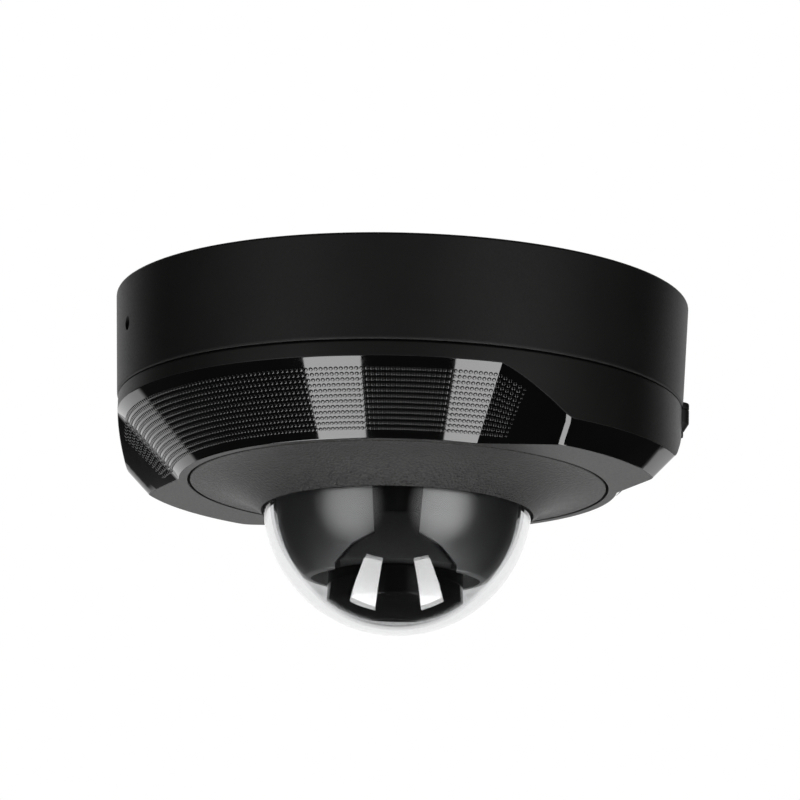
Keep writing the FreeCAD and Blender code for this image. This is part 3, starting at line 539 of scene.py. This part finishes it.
def cover_profile(bearing):
    """Closed outline of the cover's wall at one bearing, outside first."""
    local = local_bearing(bearing)
    top = chamfer_top(local)
    slope = [top + (COVER_LOW_Z - top) * share for share in (0.2, 0.4, 0.6, 0.8)]
    inner_wall = COVER_R - WALL
    foot_z = COVER_LOW_Z + SLOPE_FOOT_RISE
    foot_r = max(SLOPE_FOOT_R + 0.1, chamfer_r(local, foot_z) - SLOPE_WALL)
    inner_top = min(top + SLOPE_TOP_RISE, SPIGOT_Z[0] - 0.1)
    outline = [(COVER_R, SEAM_Z, 0.55), (COVER_R, top, 0.32)]
    outline += [(chamfer_r(local, z), z, 0.0) for z in slope]
    outline += [
        (chamfer_r(local, COVER_LOW_Z), COVER_LOW_Z, 0.35), (TRIM_SEAT_R, COVER_LOW_Z, 0.15),
        (TRIM_SEAT_R, SHELF_Z[0], 0.0),
        (SHELF_INNER_R, SHELF_Z[0], 0.25), (SHELF_INNER_R, SHELF_Z[1], 0.25),
        (CLAMP_RIM_R[0], SHELF_Z[1], 0.0), (CLAMP_RIM_R[0], CLAMP_RIM_Z, 0.2),
        (CLAMP_RIM_R[1], CLAMP_RIM_Z, 0.2), (CLAMP_RIM_R[1], SHELF_Z[1], 0.0),
        (SLOPE_FOOT_R, SHELF_Z[1], 0.0), (foot_r, foot_z, 0.4),
        (inner_wall, inner_top, 0.4), (inner_wall, SPIGOT_Z[0], 0.0),
        (SPIGOT_R[0], SPIGOT_Z[0], 0.2), (SPIGOT_R[0], SPIGOT_Z[1], 0.25),
        (SPIGOT_R[1], SPIGOT_Z[1], 0.25), (SPIGOT_R[1], SEAL_GROOVE_Z[1], 0.0),
        (SEAL_GROOVE_R, SEAL_GROOVE_Z[1], 0.0), (SEAL_GROOVE_R, SEAL_GROOVE_Z[0], 0.0),
        (SPIGOT_R[1], SEAL_GROOVE_Z[0], 0.0), (SPIGOT_R[1], SEAM_Z, 0.0)]
    return rounded(outline)


COLUMN_STEP = 1.5          # bearing between the cover's columns
CREASE_CLEAR = 0.5         # bearing kept free of them beside a crease
ROLL_STEP = 0.3            # closer step where the flat rolls into the chamfer
ROLL_STEPS = 30


def cover_bearings():
    """Bearings of the cover's columns, close together where the form turns."""
    found = set()
    quarter = int(90 / COLUMN_STEP)
    for centre in FACET_CENTRES:
        for step in range(-quarter, quarter):
            found.add(round(centre + COLUMN_STEP * step, 3))
        for side in (-1, 1):
            crease = centre + side * FACET_HALF
            found = {b for b in found if abs(b - crease) > CREASE_CLEAR}
            found |= {round(crease - CREASE_HALF, 3), round(crease + CREASE_HALF, 3)}
            roll = centre + side * (FACET_HALF + BLEND_SPAN)
            found = {b for b in found if abs(b - roll) > ROLL_STEPS * ROLL_STEP}
            found |= {round(roll + ROLL_STEP * step, 3)
                      for step in range(-ROLL_STEPS, ROLL_STEPS + 1)}
    return sorted(found)


def carve(ob, tools, operation):
    """Adds or cuts closed (points, faces) tools, and keeps the result as the mesh."""
    for verts, faces in tools:
        mesh = bpy.data.meshes.new("tool")
        mesh.from_pydata([Vector(v) * MM for v in verts], [], faces)
        clean(mesh)
        tool = bpy.data.objects.new("tool", mesh)
        bpy.context.scene.collection.objects.link(tool)
        step = ob.modifiers.new("carve", "BOOLEAN")
        step.operation, step.object, step.solver = operation, tool, "EXACT"
        bpy.context.view_layer.update()
        shape = ob.evaluated_get(bpy.context.evaluated_depsgraph_get())
        result = bpy.data.meshes.new_from_object(shape)
        ob.modifiers.clear()
        ob.data = result
        bpy.data.objects.remove(tool)


def post(place, outline, columns=40):
    """Closed (radius, z) outline turned about an upright axis through a place."""
    verts, faces = lathe(outline, columns)
    return [v + Vector((place.x, place.y, 0)) for v in verts], faces


LUG_PLACE = at(53.5, LUG_BEARING)
LUG_R = 1.9
LUG_Z = (-24.3, -18.7)
LUG_TIP_R = 0.9
LUG_TAPER = 1.6
LUG_GAP = 0.06             # each half of the lug stands this far from the seam
PAD_PLACE = at(52.0, LUG_BEARING)   # thicker wall behind the lug
PAD_R = 2.4
PAD_Z = (-25.2, -20.4)
LOCK_PLACE = at(53.0, LUG_BEARING)
LOCK_HEAD_Z = -22.6
LOCK_HEAD_R = 1.45
LOCK_BORE_R = 0.83
LOCK_CUT_Z = (-30.0, -16.0)
SKIN_NEAR = 0.12           # how near the slope a face of the cover's outside lies
SKIN_INSET = (0.03, 0.04)  # kept off the slope's lower and upper edge


def front_cover():
    columns = [[at(r, b, z) for r, z in cover_profile(b)] for b in cover_bearings()]
    verts, faces = grid(columns)
    ob = piece("front_cover_moulding", verts, faces, COVER, "cover", ["front_cover"])
    low, high = LUG_Z[0], SEAM_Z - LUG_GAP
    lug = rounded([(0, low, 0), (LUG_TIP_R, low, 0.2), (LUG_R, low + LUG_TAPER, 0.4),
                   (LUG_R, high, 0.15), (0, high, 0)])
    pad = [(0, PAD_Z[0]), (PAD_R, PAD_Z[0]), (PAD_R, PAD_Z[1]), (0, PAD_Z[1])]
    low, high = LOCK_CUT_Z
    bore = [(0, low), (LOCK_HEAD_R, low), (LOCK_HEAD_R, LOCK_HEAD_Z),
            (LOCK_BORE_R, LOCK_HEAD_Z), (LOCK_BORE_R, high), (0, high)]
    carve(ob, [post(LUG_PLACE, lug), post(PAD_PLACE, pad)], "UNION")
    carve(ob, [post(LOCK_PLACE, bore)], "DIFFERENCE")
    ob.data.materials.clear()
    ob.data.materials.append(COVER)
    ob.data.materials.append(GLOSS)
    for face in ob.data.polygons:
        face.material_index = int(is_facet(face))
    smooth(ob.data)
    even_shading(ob)


def is_facet(face):
    """True for the polished sloping surfaces of the cover's outside."""
    x, y, z = face.center / MM
    r = math.hypot(x, y)
    local = local_bearing(math.degrees(math.atan2(x, -y)))
    outside = abs(r - chamfer_r(local, z)) < SKIN_NEAR
    return outside and z > COVER_LOW_Z + SKIN_INSET[0] and r < COVER_R - SKIN_INSET[1]


# ---- raised dots on the wide facets ------------------------------------------------
DOT_ROWS = 12
DOT_FIRST, DOT_LAST = 0.152, 0.875   # where the first and last rows lie down the slope
DOT_STEP = 1.052                     # bearing between columns
DOT_COLUMNS_PAST_CREASE = 6
DOT_PROFILE = ((0.43, -0.04), (0.40, 0.03), (0.345, 0.095), (0.27, 0.125), (0.20, 0.128))
DOT_SIDES = 9
DOT_FULL_R = 46.5                    # dots nearer the axis than this are narrower
DOT_END_SIZE = 0.6                   # size of the last column's dots
DOT_SHARP_ANGLE = 50.0
NUDGE = (0.05, 0.02)                 # small steps along and down the slope


def slope_point(centre, local, share):
    """Point of the cover's slope, at a share of the way down it."""
    top = chamfer_top(local)
    z = top + (COVER_LOW_Z - top) * share
    return at(chamfer_r(local, z), centre + local, z)


def dot_columns():
    """Columns as (bearing from the facet's middle, share of full size)."""
    half = int(FACET_HALF / DOT_STEP) + DOT_COLUMNS_PAST_CREASE
    columns = []
    for i in range(-half, half + 1):
        columns.append((i * DOT_STEP, DOT_END_SIZE if abs(i) == half else 1.0))
    return columns


def dots(name, centre):
    """Field of small flat-topped dots, closed underneath, standing on one wide facet."""
    verts, faces = [], []
    for local, size in dot_columns():
        for row in range(DOT_ROWS):
            share = DOT_FIRST + (DOT_LAST - DOT_FIRST) * row / (DOT_ROWS - 1)
            middle = slope_point(centre, local, share)
            across = (slope_point(centre, local + NUDGE[0], share) - middle).normalized()
            down = (slope_point(centre, local, share + NUDGE[1]) - middle).normalized()
            out = down.cross(across).normalized()
            down = across.cross(out)
            first = len(verts)
            narrow = min(1.0, middle.xy.length / DOT_FULL_R) * size
            for radius, height in DOT_PROFILE:
                for s in range(DOT_SIDES):
                    a = 2 * math.pi * s / DOT_SIDES
                    reach = (across * math.cos(a) + down * math.sin(a)) * radius * narrow
                    verts.append(middle + reach + out * height * size)
            rings = len(DOT_PROFILE)
            for k in range(rings - 1):
                ring = first + k * DOT_SIDES
                for s in range(DOT_SIDES):
                    a, b = ring + s, ring + (s + 1) % DOT_SIDES
                    faces.append((a, b, b + DOT_SIDES, a + DOT_SIDES))
            last = first + (rings - 1) * DOT_SIDES
            faces.append(tuple(range(last, last + DOT_SIDES)))
            faces.append(tuple(reversed(range(first, first + DOT_SIDES))))
    piece(name, verts, faces, GLOSS, "cover", [], DOT_SHARP_ANGLE)


# ---- base housing ------------------------------------------------------------------
PLATE_Z = -3.0
INNER_R = 51.8
GASKET_GROOVE_R = (46.5, 50.5)
GASKET_GROOVE_Z = -1.0
POST_PCD_R = 44.0          # posts that carry the chassis plate
POST_BEARINGS = (0, 120, 240)
POST_R = 3.2
POST_Z = (-17.6, -2.5)
POST_BORE_R = 1.1
POST_BORE_Z = (-18.6, -8.0)
FIX_PCD_R = 42.0           # holes for the screws into the ceiling
FIX_BEARINGS = (60, 180, 300)
FIX_R = 2.25
CABLE_PLACE = Vector((-24.0, 0, 0))
CABLE_R = 9.0
PLATE_CUT_Z = (-5.0, 1.0)
LOCK_THREAD_R = 0.8
LOCK_THREAD_Z = (-21.0, -15.5)
MIC_BOSS_R = 3.6
MIC_BOSS_REACH = (48.6, 53.0)
MIC_SEAT_R = 2.8
MIC_SEAT_REACH = (48.0, 51.6)
MIC_PORT_REACH = (50.0, 60.0)


def bar(start, direction, radius, length, sides=40):
    """Closed cylinder from a point along a direction."""
    turn = direction.normalized().to_track_quat("Z", "Y")
    ends = []
    for height in (0.0, length):
        for s in range(sides):
            a = 2 * math.pi * s / sides
            ends.append(start + turn @ Vector((radius * math.cos(a), radius * math.sin(a), height)))
    faces = [(s, (s + 1) % sides, sides + (s + 1) % sides, sides + s) for s in range(sides)]
    return ends, faces + [tuple(range(sides - 1, -1, -1)), tuple(range(sides, 2 * sides))]


def mic_bar(radius, reach):
    """Bar along the side port's axis, from one distance from the middle to another."""
    r_from, r_to = reach
    return bar(at(r_from, MIC_BEARING, MIC_Z), at(1, MIC_BEARING), radius, r_to - r_from)


def upright(place, radius, span):
    low, high = span
    return bar(Vector((place.x, place.y, low)), Vector((0, 0, 1)), radius, high - low)


def base_housing():
    groove_in, groove_out = GASKET_GROOVE_R
    outline = [
        (0, 0, 0), (groove_in, 0.0, 0.1), (groove_in, GASKET_GROOVE_Z, 0.0),
        (groove_out, GASKET_GROOVE_Z, 0.0), (groove_out, 0.0, 0.1),
        (BASE_TOP_R, 0, 0.55), (SEAM_R, SEAM_Z, 0.60), (INNER_R, SEAM_Z, 0.3),
        (INNER_R, PLATE_Z, 1.0), (0, PLATE_Z, 0)]
    verts, faces = lathe(rounded(outline), 256)
    ob = piece("base_moulding", verts, faces, HOUSING, "base", ["base_housing"])
    low, high = SEAM_Z + LUG_GAP, LUG_Z[1]
    lug = rounded([(0, low, 0), (LUG_R, low, 0.15), (LUG_R, high, 0.35), (0, high, 0)])
    posts = [upright(at(POST_PCD_R, b), POST_R, POST_Z) for b in POST_BEARINGS]
    carve(ob, [post(LUG_PLACE, lug), *posts, mic_bar(MIC_BOSS_R, MIC_BOSS_REACH)], "UNION")
    holes = [upright(at(FIX_PCD_R, b), FIX_R, PLATE_CUT_Z) for b in FIX_BEARINGS]
    holes += [upright(at(POST_PCD_R, b), POST_BORE_R, POST_BORE_Z) for b in POST_BEARINGS]
    holes += [upright(CABLE_PLACE, CABLE_R, PLATE_CUT_Z)]
    holes += [upright(LOCK_PLACE, LOCK_THREAD_R, LOCK_THREAD_Z)]
    holes += [mic_bar(MIC_SEAT_R, MIC_SEAT_REACH), mic_bar(MIC_R, MIC_PORT_REACH)]
    carve(ob, holes, "DIFFERENCE")
    smooth(ob.data)
    even_shading(ob)


# ---- flared ring and dome ----------------------------------------------------------
def trim_ring():
    """Ring with a hollow flare, so the flare's circle lies below and outside it."""
    centre_z = COVER_LOW_Z - TRIM_ARC_R
    seat_z = COVER_LOW_Z + TRIM_T
    outer = arc(centre_z, TRIM_ARC_R, TRIM_R - 0.25, TRIM_INNER_R + 0.1, 40, TRIM_R, 1)
    back = arc(centre_z, TRIM_ARC_R + TRIM_T, TRIM_INNER_R, TRIM_BACK_R, 24, TRIM_R, 1)
    rim = rounded([(TRIM_BACK_R, seat_z, 0.0), (TRIM_R, seat_z, 0.2),
                   (TRIM_R, COVER_LOW_Z, 0.28), (TRIM_R - 0.7, COVER_LOW_Z, 0.0),
                   (TRIM_R - 1.0, COVER_LOW_Z + 0.5, 0.0)])[:-2]
    lip_z = outer[-1][1]
    profile = rim + outer + [(TRIM_INNER_R, lip_z + 0.12)] + back
    verts, faces = lathe(profile, 256)
    ob = piece("trim_ring_blasted", verts, faces, TRIM, "cover", ["trim_ring"])
    even_shading(ob)


FLANGE_R = 31.2            # flange that the clamp presses on the dome's gasket
FLANGE_Z = (-31.85, -30.05)


def dome():
    outer = polar_arc(TILT_Z, DOME_R, 0, 90, 56)
    inner = polar_arc(TILT_Z, DOME_INNER_R, 90, 0, 56)
    low, high = FLANGE_Z
    flange = between(outer[-1], [(DOME_R, low, 0.4), (FLANGE_R, low, 0.2), (FLANGE_R, high, 0.2),
                                 (DOME_INNER_R, high, 0.3)], inner[0])
    verts, faces = lathe(outer + flange + inner, 160)
    ob = piece("dome_bubble_clear", verts, faces, DOME, "cover", ["dome_bubble"])
    line_inside(ob, DOME_INSIDE, (DOME_INNER_R + DOME_R) / 2)


def line_inside(ob, material, mid_r):
    """Gives the inner skin of a shell round the tilt axis a material of its own."""
    ob.data.materials.append(material)
    for face in ob.data.polygons:
        place = face.center / MM - Vector((0, 0, TILT_Z))
        reach = place.length if place.z < 0 else place.xy.length
        outward = face.normal.dot(Vector((place.x, place.y, min(place.z, 0.0)))) > 0
        face.material_index = int(reach < mid_r and not outward)


# ---- liner, cap and lens -----------------------------------------------------------
SLOT_Y = (-30.0, -5.0)
WINDOW_Y = (0.0, 30.0)
WINDOW_LOW_Z = -60.0
EAR_X = 20.0               # ears by which the liner is screwed to the yoke
EAR_HALF = (2.6, 3.5)
EAR_Z = (-29.7, -28.55)
EAR_SCREW_X = 19.4
EAR_BORE_R = 0.95
EAR_BORE_Z = (-31.0, -27.0)


def hood_outline(gap):
    """Keyhole outline seen from -Y: a tapered spine that opens into the hood."""
    top, *shoulders = HOOD_EDGE
    left = [(-top[0] - gap, top[1])] + [(-x - gap, z + gap) for x, z in shoulders]
    left.append((left[-1][0], LINER_CUT_Z - 3))
    return left + [(-x, z) for x, z in reversed(left)]


def prism_y(outline, y_from, y_to):
    """Closed prism along Y from an (x, z) outline."""
    count = len(outline)
    verts = [Vector((x, y, z)) for y in (y_from, y_to) for x, z in outline]
    faces = [(i, (i + 1) % count, count + (i + 1) % count, count + i) for i in range(count)]
    return verts, faces + [tuple(range(count - 1, -1, -1)), tuple(range(count, 2 * count))]


def block(x, z):
    """Outline of a rectangle between two x and two z."""
    return [(x[0], z[0]), (x[1], z[0]), (x[1], z[1]), (x[0], z[1])]


def inner_liner():
    low_out = math.degrees(math.acos((TILT_Z - LINER_CUT_Z) / LINER_R[1]))
    low_in = math.degrees(math.acos((TILT_Z - LINER_CUT_Z) / LINER_R[0]))
    outer = polar_arc(TILT_Z, LINER_R[1], low_out, 90, 40)
    inner = polar_arc(TILT_Z, LINER_R[0], 90, low_in, 40)
    rim = between(outer[-1], [(LINER_R[1], LINER_HIGH.z, 0.25), (LINER_R[0], LINER_HIGH.z, 0.25)],
                  inner[0])
    verts, faces = lathe(outer + rim + inner, 200)
    ob = piece("liner_cheeks", verts, faces, LINER, "pan_unit", ["inner_liner"])
    window = block((-WINDOW_HALF_W, WINDOW_HALF_W), (WINDOW_LOW_Z, WINDOW_TOP_Z))
    carve(ob, [prism_y(hood_outline(SLOT_GAP), *SLOT_Y), prism_y(window, *WINDOW_Y)], "DIFFERENCE")
    half_x, half_y = EAR_HALF
    ears = [prism_y(block((x - half_x, x + half_x), EAR_Z), -half_y, half_y)
            for x in (-EAR_X, EAR_X)]
    carve(ob, ears, "UNION")
    bores = [upright(Vector((x, 0, 0)), EAR_BORE_R, EAR_BORE_Z)
             for x in (-EAR_SCREW_X, EAR_SCREW_X)]
    carve(ob, bores, "DIFFERENCE")
    # The inner skin gets the pale grey of painted light.
    line_inside(ob, LINER_INSIDE_PAINTED_LIGHT, LINER_R[0] + 0.1)
    round_edges(ob, LINER_EDGE_R, LINER_EDGE_ANGLE)
    smooth(ob.data, LINER_EDGE_ANGLE)
    even_shading(ob)


CAP_WALL = 1.4
CAP_SKIRT_WALL = 1.6


def front_cap():
    inner_sphere = CAP_SPHERE_R - CAP_WALL
    skirt_r = CAP_R - CAP_SKIRT_WALL
    low_edge = math.degrees(math.asin(LENS_BORE_R / CAP_SPHERE_R))
    outer_edge = math.degrees(math.asin(CAP_R / CAP_SPHERE_R))
    outer = polar_arc(TILT_Z, CAP_SPHERE_R, low_edge + 0.9, outer_edge - 1.2, 40)
    shoulder = [(CAP_R, TILT_Z - math.sqrt(CAP_SPHERE_R ** 2 - CAP_R ** 2), 0.45),
                (CAP_R, CAP_TOP_Z, 0.2), (skirt_r, CAP_TOP_Z, 0.1)]
    end = (skirt_r, TILT_Z - math.sqrt(inner_sphere ** 2 - skirt_r ** 2))
    turn = between(outer[-1], shoulder, end) + [end]
    inner = arc(TILT_Z, inner_sphere, skirt_r - 0.3, LENS_BORE_R + 0.1, 24)
    face_z = TILT_Z - math.sqrt(CAP_SPHERE_R ** 2 - LENS_BORE_R ** 2)
    bore = between(inner[-1], [(LENS_BORE_R, inner[-1][1] - 0.05, 0.0),
                               (LENS_BORE_R, face_z, 0.35)], outer[0])
    verts, faces = lathe(outer + turn + inner + bore, 160)
    ob = piece("front_cap_gloss", verts, faces, CAP, "camera_head", ["front_cap"])
    even_shading(ob)


GLASS_R = 4.25
GLASS_BULGE_R = 8.5
GLASS_BULGE_RISE = 6.8     # from the barrel's front to the centre of the bulge
GLASS_BACK_RISE = 1.4
GLASS_EDGE = 0.1


def lens_glass():
    low, back = BARREL_Z[0], BARREL_Z[0] + GLASS_BACK_RISE
    bulge = arc(low + GLASS_BULGE_RISE, GLASS_BULGE_R, 0.0, GLASS_R - 0.05, 24)
    profile = bulge + [(GLASS_R, bulge[-1][1] + GLASS_EDGE), (GLASS_R, back - GLASS_EDGE),
                       (GLASS_R - GLASS_EDGE, back), (0.0, back)]
    verts, faces = lathe(profile, 96)
    piece("lens_front_element", verts, faces, LENS, "camera_head", ["lens_front_glass"])


BARREL_R = 6.0
THROAT_R = (4.0, 4.25)     # at a step of the light trap, and behind it
GLASS_SEAT = (4.3, 1.4)    # radius, depth
TRAP_STEPS = 6
TRAP_FIRST = 1.5
TRAP_PITCH = 2.1
TRAP_STEP_LENGTH = 1.5
TRAP_SLOPE = 0.2


def lens_barrel():
    """Barrel with a stepped light trap behind the front element."""
    low, high = BARREL_Z
    narrow, wide = THROAT_R
    seat_r, seat_depth = GLASS_SEAT
    outline = [(seat_r, low, 0.15), (seat_r, low + seat_depth, 0.0)]
    for i in range(TRAP_STEPS):
        z = low + TRAP_FIRST + TRAP_PITCH * i
        end = z + TRAP_STEP_LENGTH
        outline += [(narrow, z, 0.08), (narrow, end, 0.05), (wide, end + TRAP_SLOPE, 0.05)]
    outline += [(narrow, high, 0.1), (BARREL_R, high, 0.2), (BARREL_R, low, 0.25)]
    verts, faces = lathe(rounded(outline, 2), 96)
    piece("lens_barrel_ribbed", verts, faces, BARREL, "camera_head", ["lens_barrel"])


# ---- floor, light and camera -------------------------------------------------------
FLOOR_Z = -1300.0
FLOOR_HALF = 6000.0
FLOOR_CELLS = 24
FLOOR_FLAT_R = 4500.0      # beyond it the floor curves up
FLOOR_CURVE = 2500.0
FLOOR_GLOW = 0.6


def floor():
    """Pale floor far below the camera, curved up at its edges."""
    verts, faces = [], []
    steps = [FLOOR_HALF * (2 * i / FLOOR_CELLS - 1) for i in range(FLOOR_CELLS + 1)]
    for x in steps:
        for y in steps:
            rise = max(math.hypot(x, y) - FLOOR_FLAT_R, 0.0) ** 2 / FLOOR_CURVE
            verts.append(Vector((x, y, FLOOR_Z + rise)))
    row = FLOOR_CELLS + 1
    for i in range(FLOOR_CELLS):
        for j in range(FLOOR_CELLS):
            a = i * row + j
            faces.append((a, a + 1, a + row + 1, a + row))
    mesh = bpy.data.meshes.new("studio_floor")
    mesh.from_pydata([v * MM for v in verts], [], faces)
    mesh.shade_smooth()
    ob = bpy.data.objects.new("studio_floor", mesh)
    bpy.context.scene.collection.objects.link(ob)
    mesh.materials.append(moulded("studio_floor", grey(0.62), grey(0.68), (0.7, 0.8), 40.0, 0.2,
                                  Emission_Color=(1, 1, 1, 1), Emission_Strength=FLOOR_GLOW))
    ob.visible_glossy = False
    ob.visible_diffuse = False
    ob.visible_transmission = False


STRIPS = {"strip_left": (-425.0, -172.0), "strip_right": (235.0, 466.0)}   # x reach
STRIP_Y = (-425.0, 518.0)
STRIP_Z = -900.0
STRIP_RADIANCE = 8.0
FACING_UP = (0.0, 1.0, 0.0, 0.0)   # quaternion


def soft_box(name, x, y):
    """Rectangular lamp that faces up, given by its reach in x and y."""
    data = bpy.data.lights.new(name, "AREA")
    data.shape = "RECTANGLE"
    data.size, data.size_y = (x[1] - x[0]) * MM, (y[1] - y[0]) * MM
    data.energy = STRIP_RADIANCE * math.pi * data.size * data.size_y
    ob = bpy.data.objects.new(name, data)
    bpy.context.scene.collection.objects.link(ob)
    ob.location = Vector((sum(x) / 2, sum(y) / 2, STRIP_Z)) * MM
    ob.rotation_mode = "QUATERNION"
    ob.rotation_quaternion = FACING_UP
    ob.visible_camera = False


def lights():
    """Two long soft boxes under the camera; the surroundings light the rest."""
    for name, x in STRIPS.items():
        soft_box(name, x, STRIP_Y)


class Sum:
    """Small chain of math nodes, for brightness as a function of direction."""

    def __init__(self, tree, value):
        self.tree, self.value = tree, value

    def step(self, operation, other):
        """The chain with one more node, whose second input is a number or a socket."""
        node = self.tree.nodes.new("ShaderNodeMath")
        node.operation = operation
        self.tree.links.new(self.value, node.inputs[0])
        if isinstance(other, (int, float)):
            node.inputs[1].default_value = other
        else:
            self.tree.links.new(other, node.inputs[1])
        return Sum(self.tree, node.outputs[0])


def fade(tree, value, span, high=1.0):
    """Smooth rise from 0 over a span of a direction's values."""
    node = remap(tree, value, span, 0.0, high)
    node.interpolation_type = "SMOOTHSTEP"
    return node.outputs["Result"]


def toward(tree, direction, bearing, elevation):
    """How closely the direction points at a place in the surroundings."""
    node = tree.nodes.new("ShaderNodeVectorMath")
    node.operation = "DOT_PRODUCT"
    aim = at(math.cos(math.radians(elevation)), bearing, math.sin(math.radians(elevation)))
    node.inputs[1].default_value = aim
    tree.links.new(direction, node.inputs[0])
    return node.outputs["Value"]


DIM = 0.02                 # everywhere else
BACKDROP = 1.25            # white wall behind the object
BACKDROP_EDGE = (0.755, 0.790)   # share of the level direction that points at +Y
BACKDROP_FOOT = (-0.50, -0.36)   # height of the direction
GLOWS = ((-44.0, -12.0, 1.2), (42.0, -12.0, 1.55))   # bearing, elevation, brightness
GLOW_SPREAD = (0.83, 0.99)       # nearness to the glow's middle
SEEN_THROUGH = 0.80        # share of the white that comes straight through the dome
RIM_SHARE = 0.68           # share of the wall that the dome's rim sends on


def surroundings():
    """White to the eye, and a little less through the dome; reflections see a white wall
    behind and two soft glows in front."""
    world = bpy.data.worlds.new("studio")
    bpy.context.scene.world = world
    world.use_nodes = True
    tree = world.node_tree
    where = tree.nodes.new("ShaderNodeTexCoord").outputs["Generated"]
    parts = tree.nodes.new("ShaderNodeSeparateXYZ")
    tree.links.new(where, parts.inputs["Vector"])
    path = tree.nodes.new("ShaderNodeLightPath")
    outside = Sum(tree, path.outputs["Transmission Depth"]).step("LESS_THAN", 0.5)
    height = parts.outputs["Z"]
    level = Sum(tree, height).step("MULTIPLY", height).step("MULTIPLY", -1.0).step("ADD", 1.0)
    behind = Sum(tree, parts.outputs["Y"]).step("DIVIDE", level.step("POWER", 0.5).value)
    wall = Sum(tree, fade(tree, behind.value, BACKDROP_EDGE, BACKDROP - DIM))
    wall = wall.step("MULTIPLY", fade(tree, height, BACKDROP_FOOT))
    wall = wall.step("MULTIPLY", outside.step("MAXIMUM", RIM_SHARE).value)
    total = wall.step("ADD", DIM)
    for bearing, elevation, amount in GLOWS:
        near = toward(tree, where, bearing, elevation)
        total = total.step("ADD", fade(tree, near, GLOW_SPREAD, amount))
    bounced = Sum(tree, path.outputs["Diffuse Depth"]).step("ADD", path.outputs["Glossy Depth"])
    direct = bounced.step("LESS_THAN", 0.5).step("MULTIPLY", path.outputs["Is Transmission Ray"])
    eye = direct.step("MAXIMUM", path.outputs["Is Camera Ray"])
    mix = tree.nodes.new("ShaderNodeMix")
    tree.links.new(eye.value, mix.inputs["Factor"])
    tree.links.new(total.value, mix.inputs["A"])
    seen = Sum(tree, path.outputs["Is Camera Ray"]).step("MAXIMUM", SEEN_THROUGH)
    tree.links.new(seen.value, mix.inputs["B"])
    background = tree.nodes["Background"]
    background.inputs["Color"].default_value = (1, 1, 1, 1)
    tree.links.new(mix.outputs["Result"], background.inputs["Strength"])
    bpy.context.scene.view_settings.view_transform = "Standard"


CAMERA_DISTANCE = 1075.4
CAMERA_BELOW = 12.90       # degrees that the viewpoint lies below the horizon
CAMERA_PITCH = 0.055       # degrees up from its aim
CAMERA_ROLL = 1.460        # degrees
CAMERA_AIM = Vector((0, 0, SEAM_Z))
SENSOR_WIDTH = 36.0
FOCAL_LENGTH = 252.42
CLIP = (0.05, 50.0)        # metres


def camera():
    """Camera at the photograph's viewing angle."""
    rise = math.radians(CAMERA_BELOW)
    forward = Vector((0, math.cos(rise), math.sin(rise)))
    place = CAMERA_AIM - forward * CAMERA_DISTANCE
    up = Vector((1, 0, 0)).cross(forward)
    forward = (forward + math.tan(math.radians(CAMERA_PITCH)) * up).normalized()
    right = forward.cross(Vector((0, 0, 1))).normalized()
    up = right.cross(forward)
    roll = math.radians(CAMERA_ROLL)
    right, up = (right * math.cos(roll) + up * math.sin(roll),
                 up * math.cos(roll) - right * math.sin(roll))
    data = bpy.data.cameras.new("camera")
    data.sensor_width = SENSOR_WIDTH
    data.lens = FOCAL_LENGTH
    data.clip_start, data.clip_end = CLIP
    ob = bpy.data.objects.new("camera", data)
    bpy.context.scene.collection.objects.link(ob)
    ob.rotation_mode = "QUATERNION"
    ob.rotation_quaternion = Matrix((right, up, -forward)).transposed().to_quaternion()
    ob.location = place * MM
    bpy.context.scene.camera = ob


dress_frame()
base_housing()
front_cover()
for side, centre in zip(("front", "back"), FACET_CENTRES):
    dots("facet_dots_" + side, centre)
trim_ring()
dome()
inner_liner()
front_cap()
lens_glass()
lens_barrel()
floor()
lights()
surroundings()
camera()
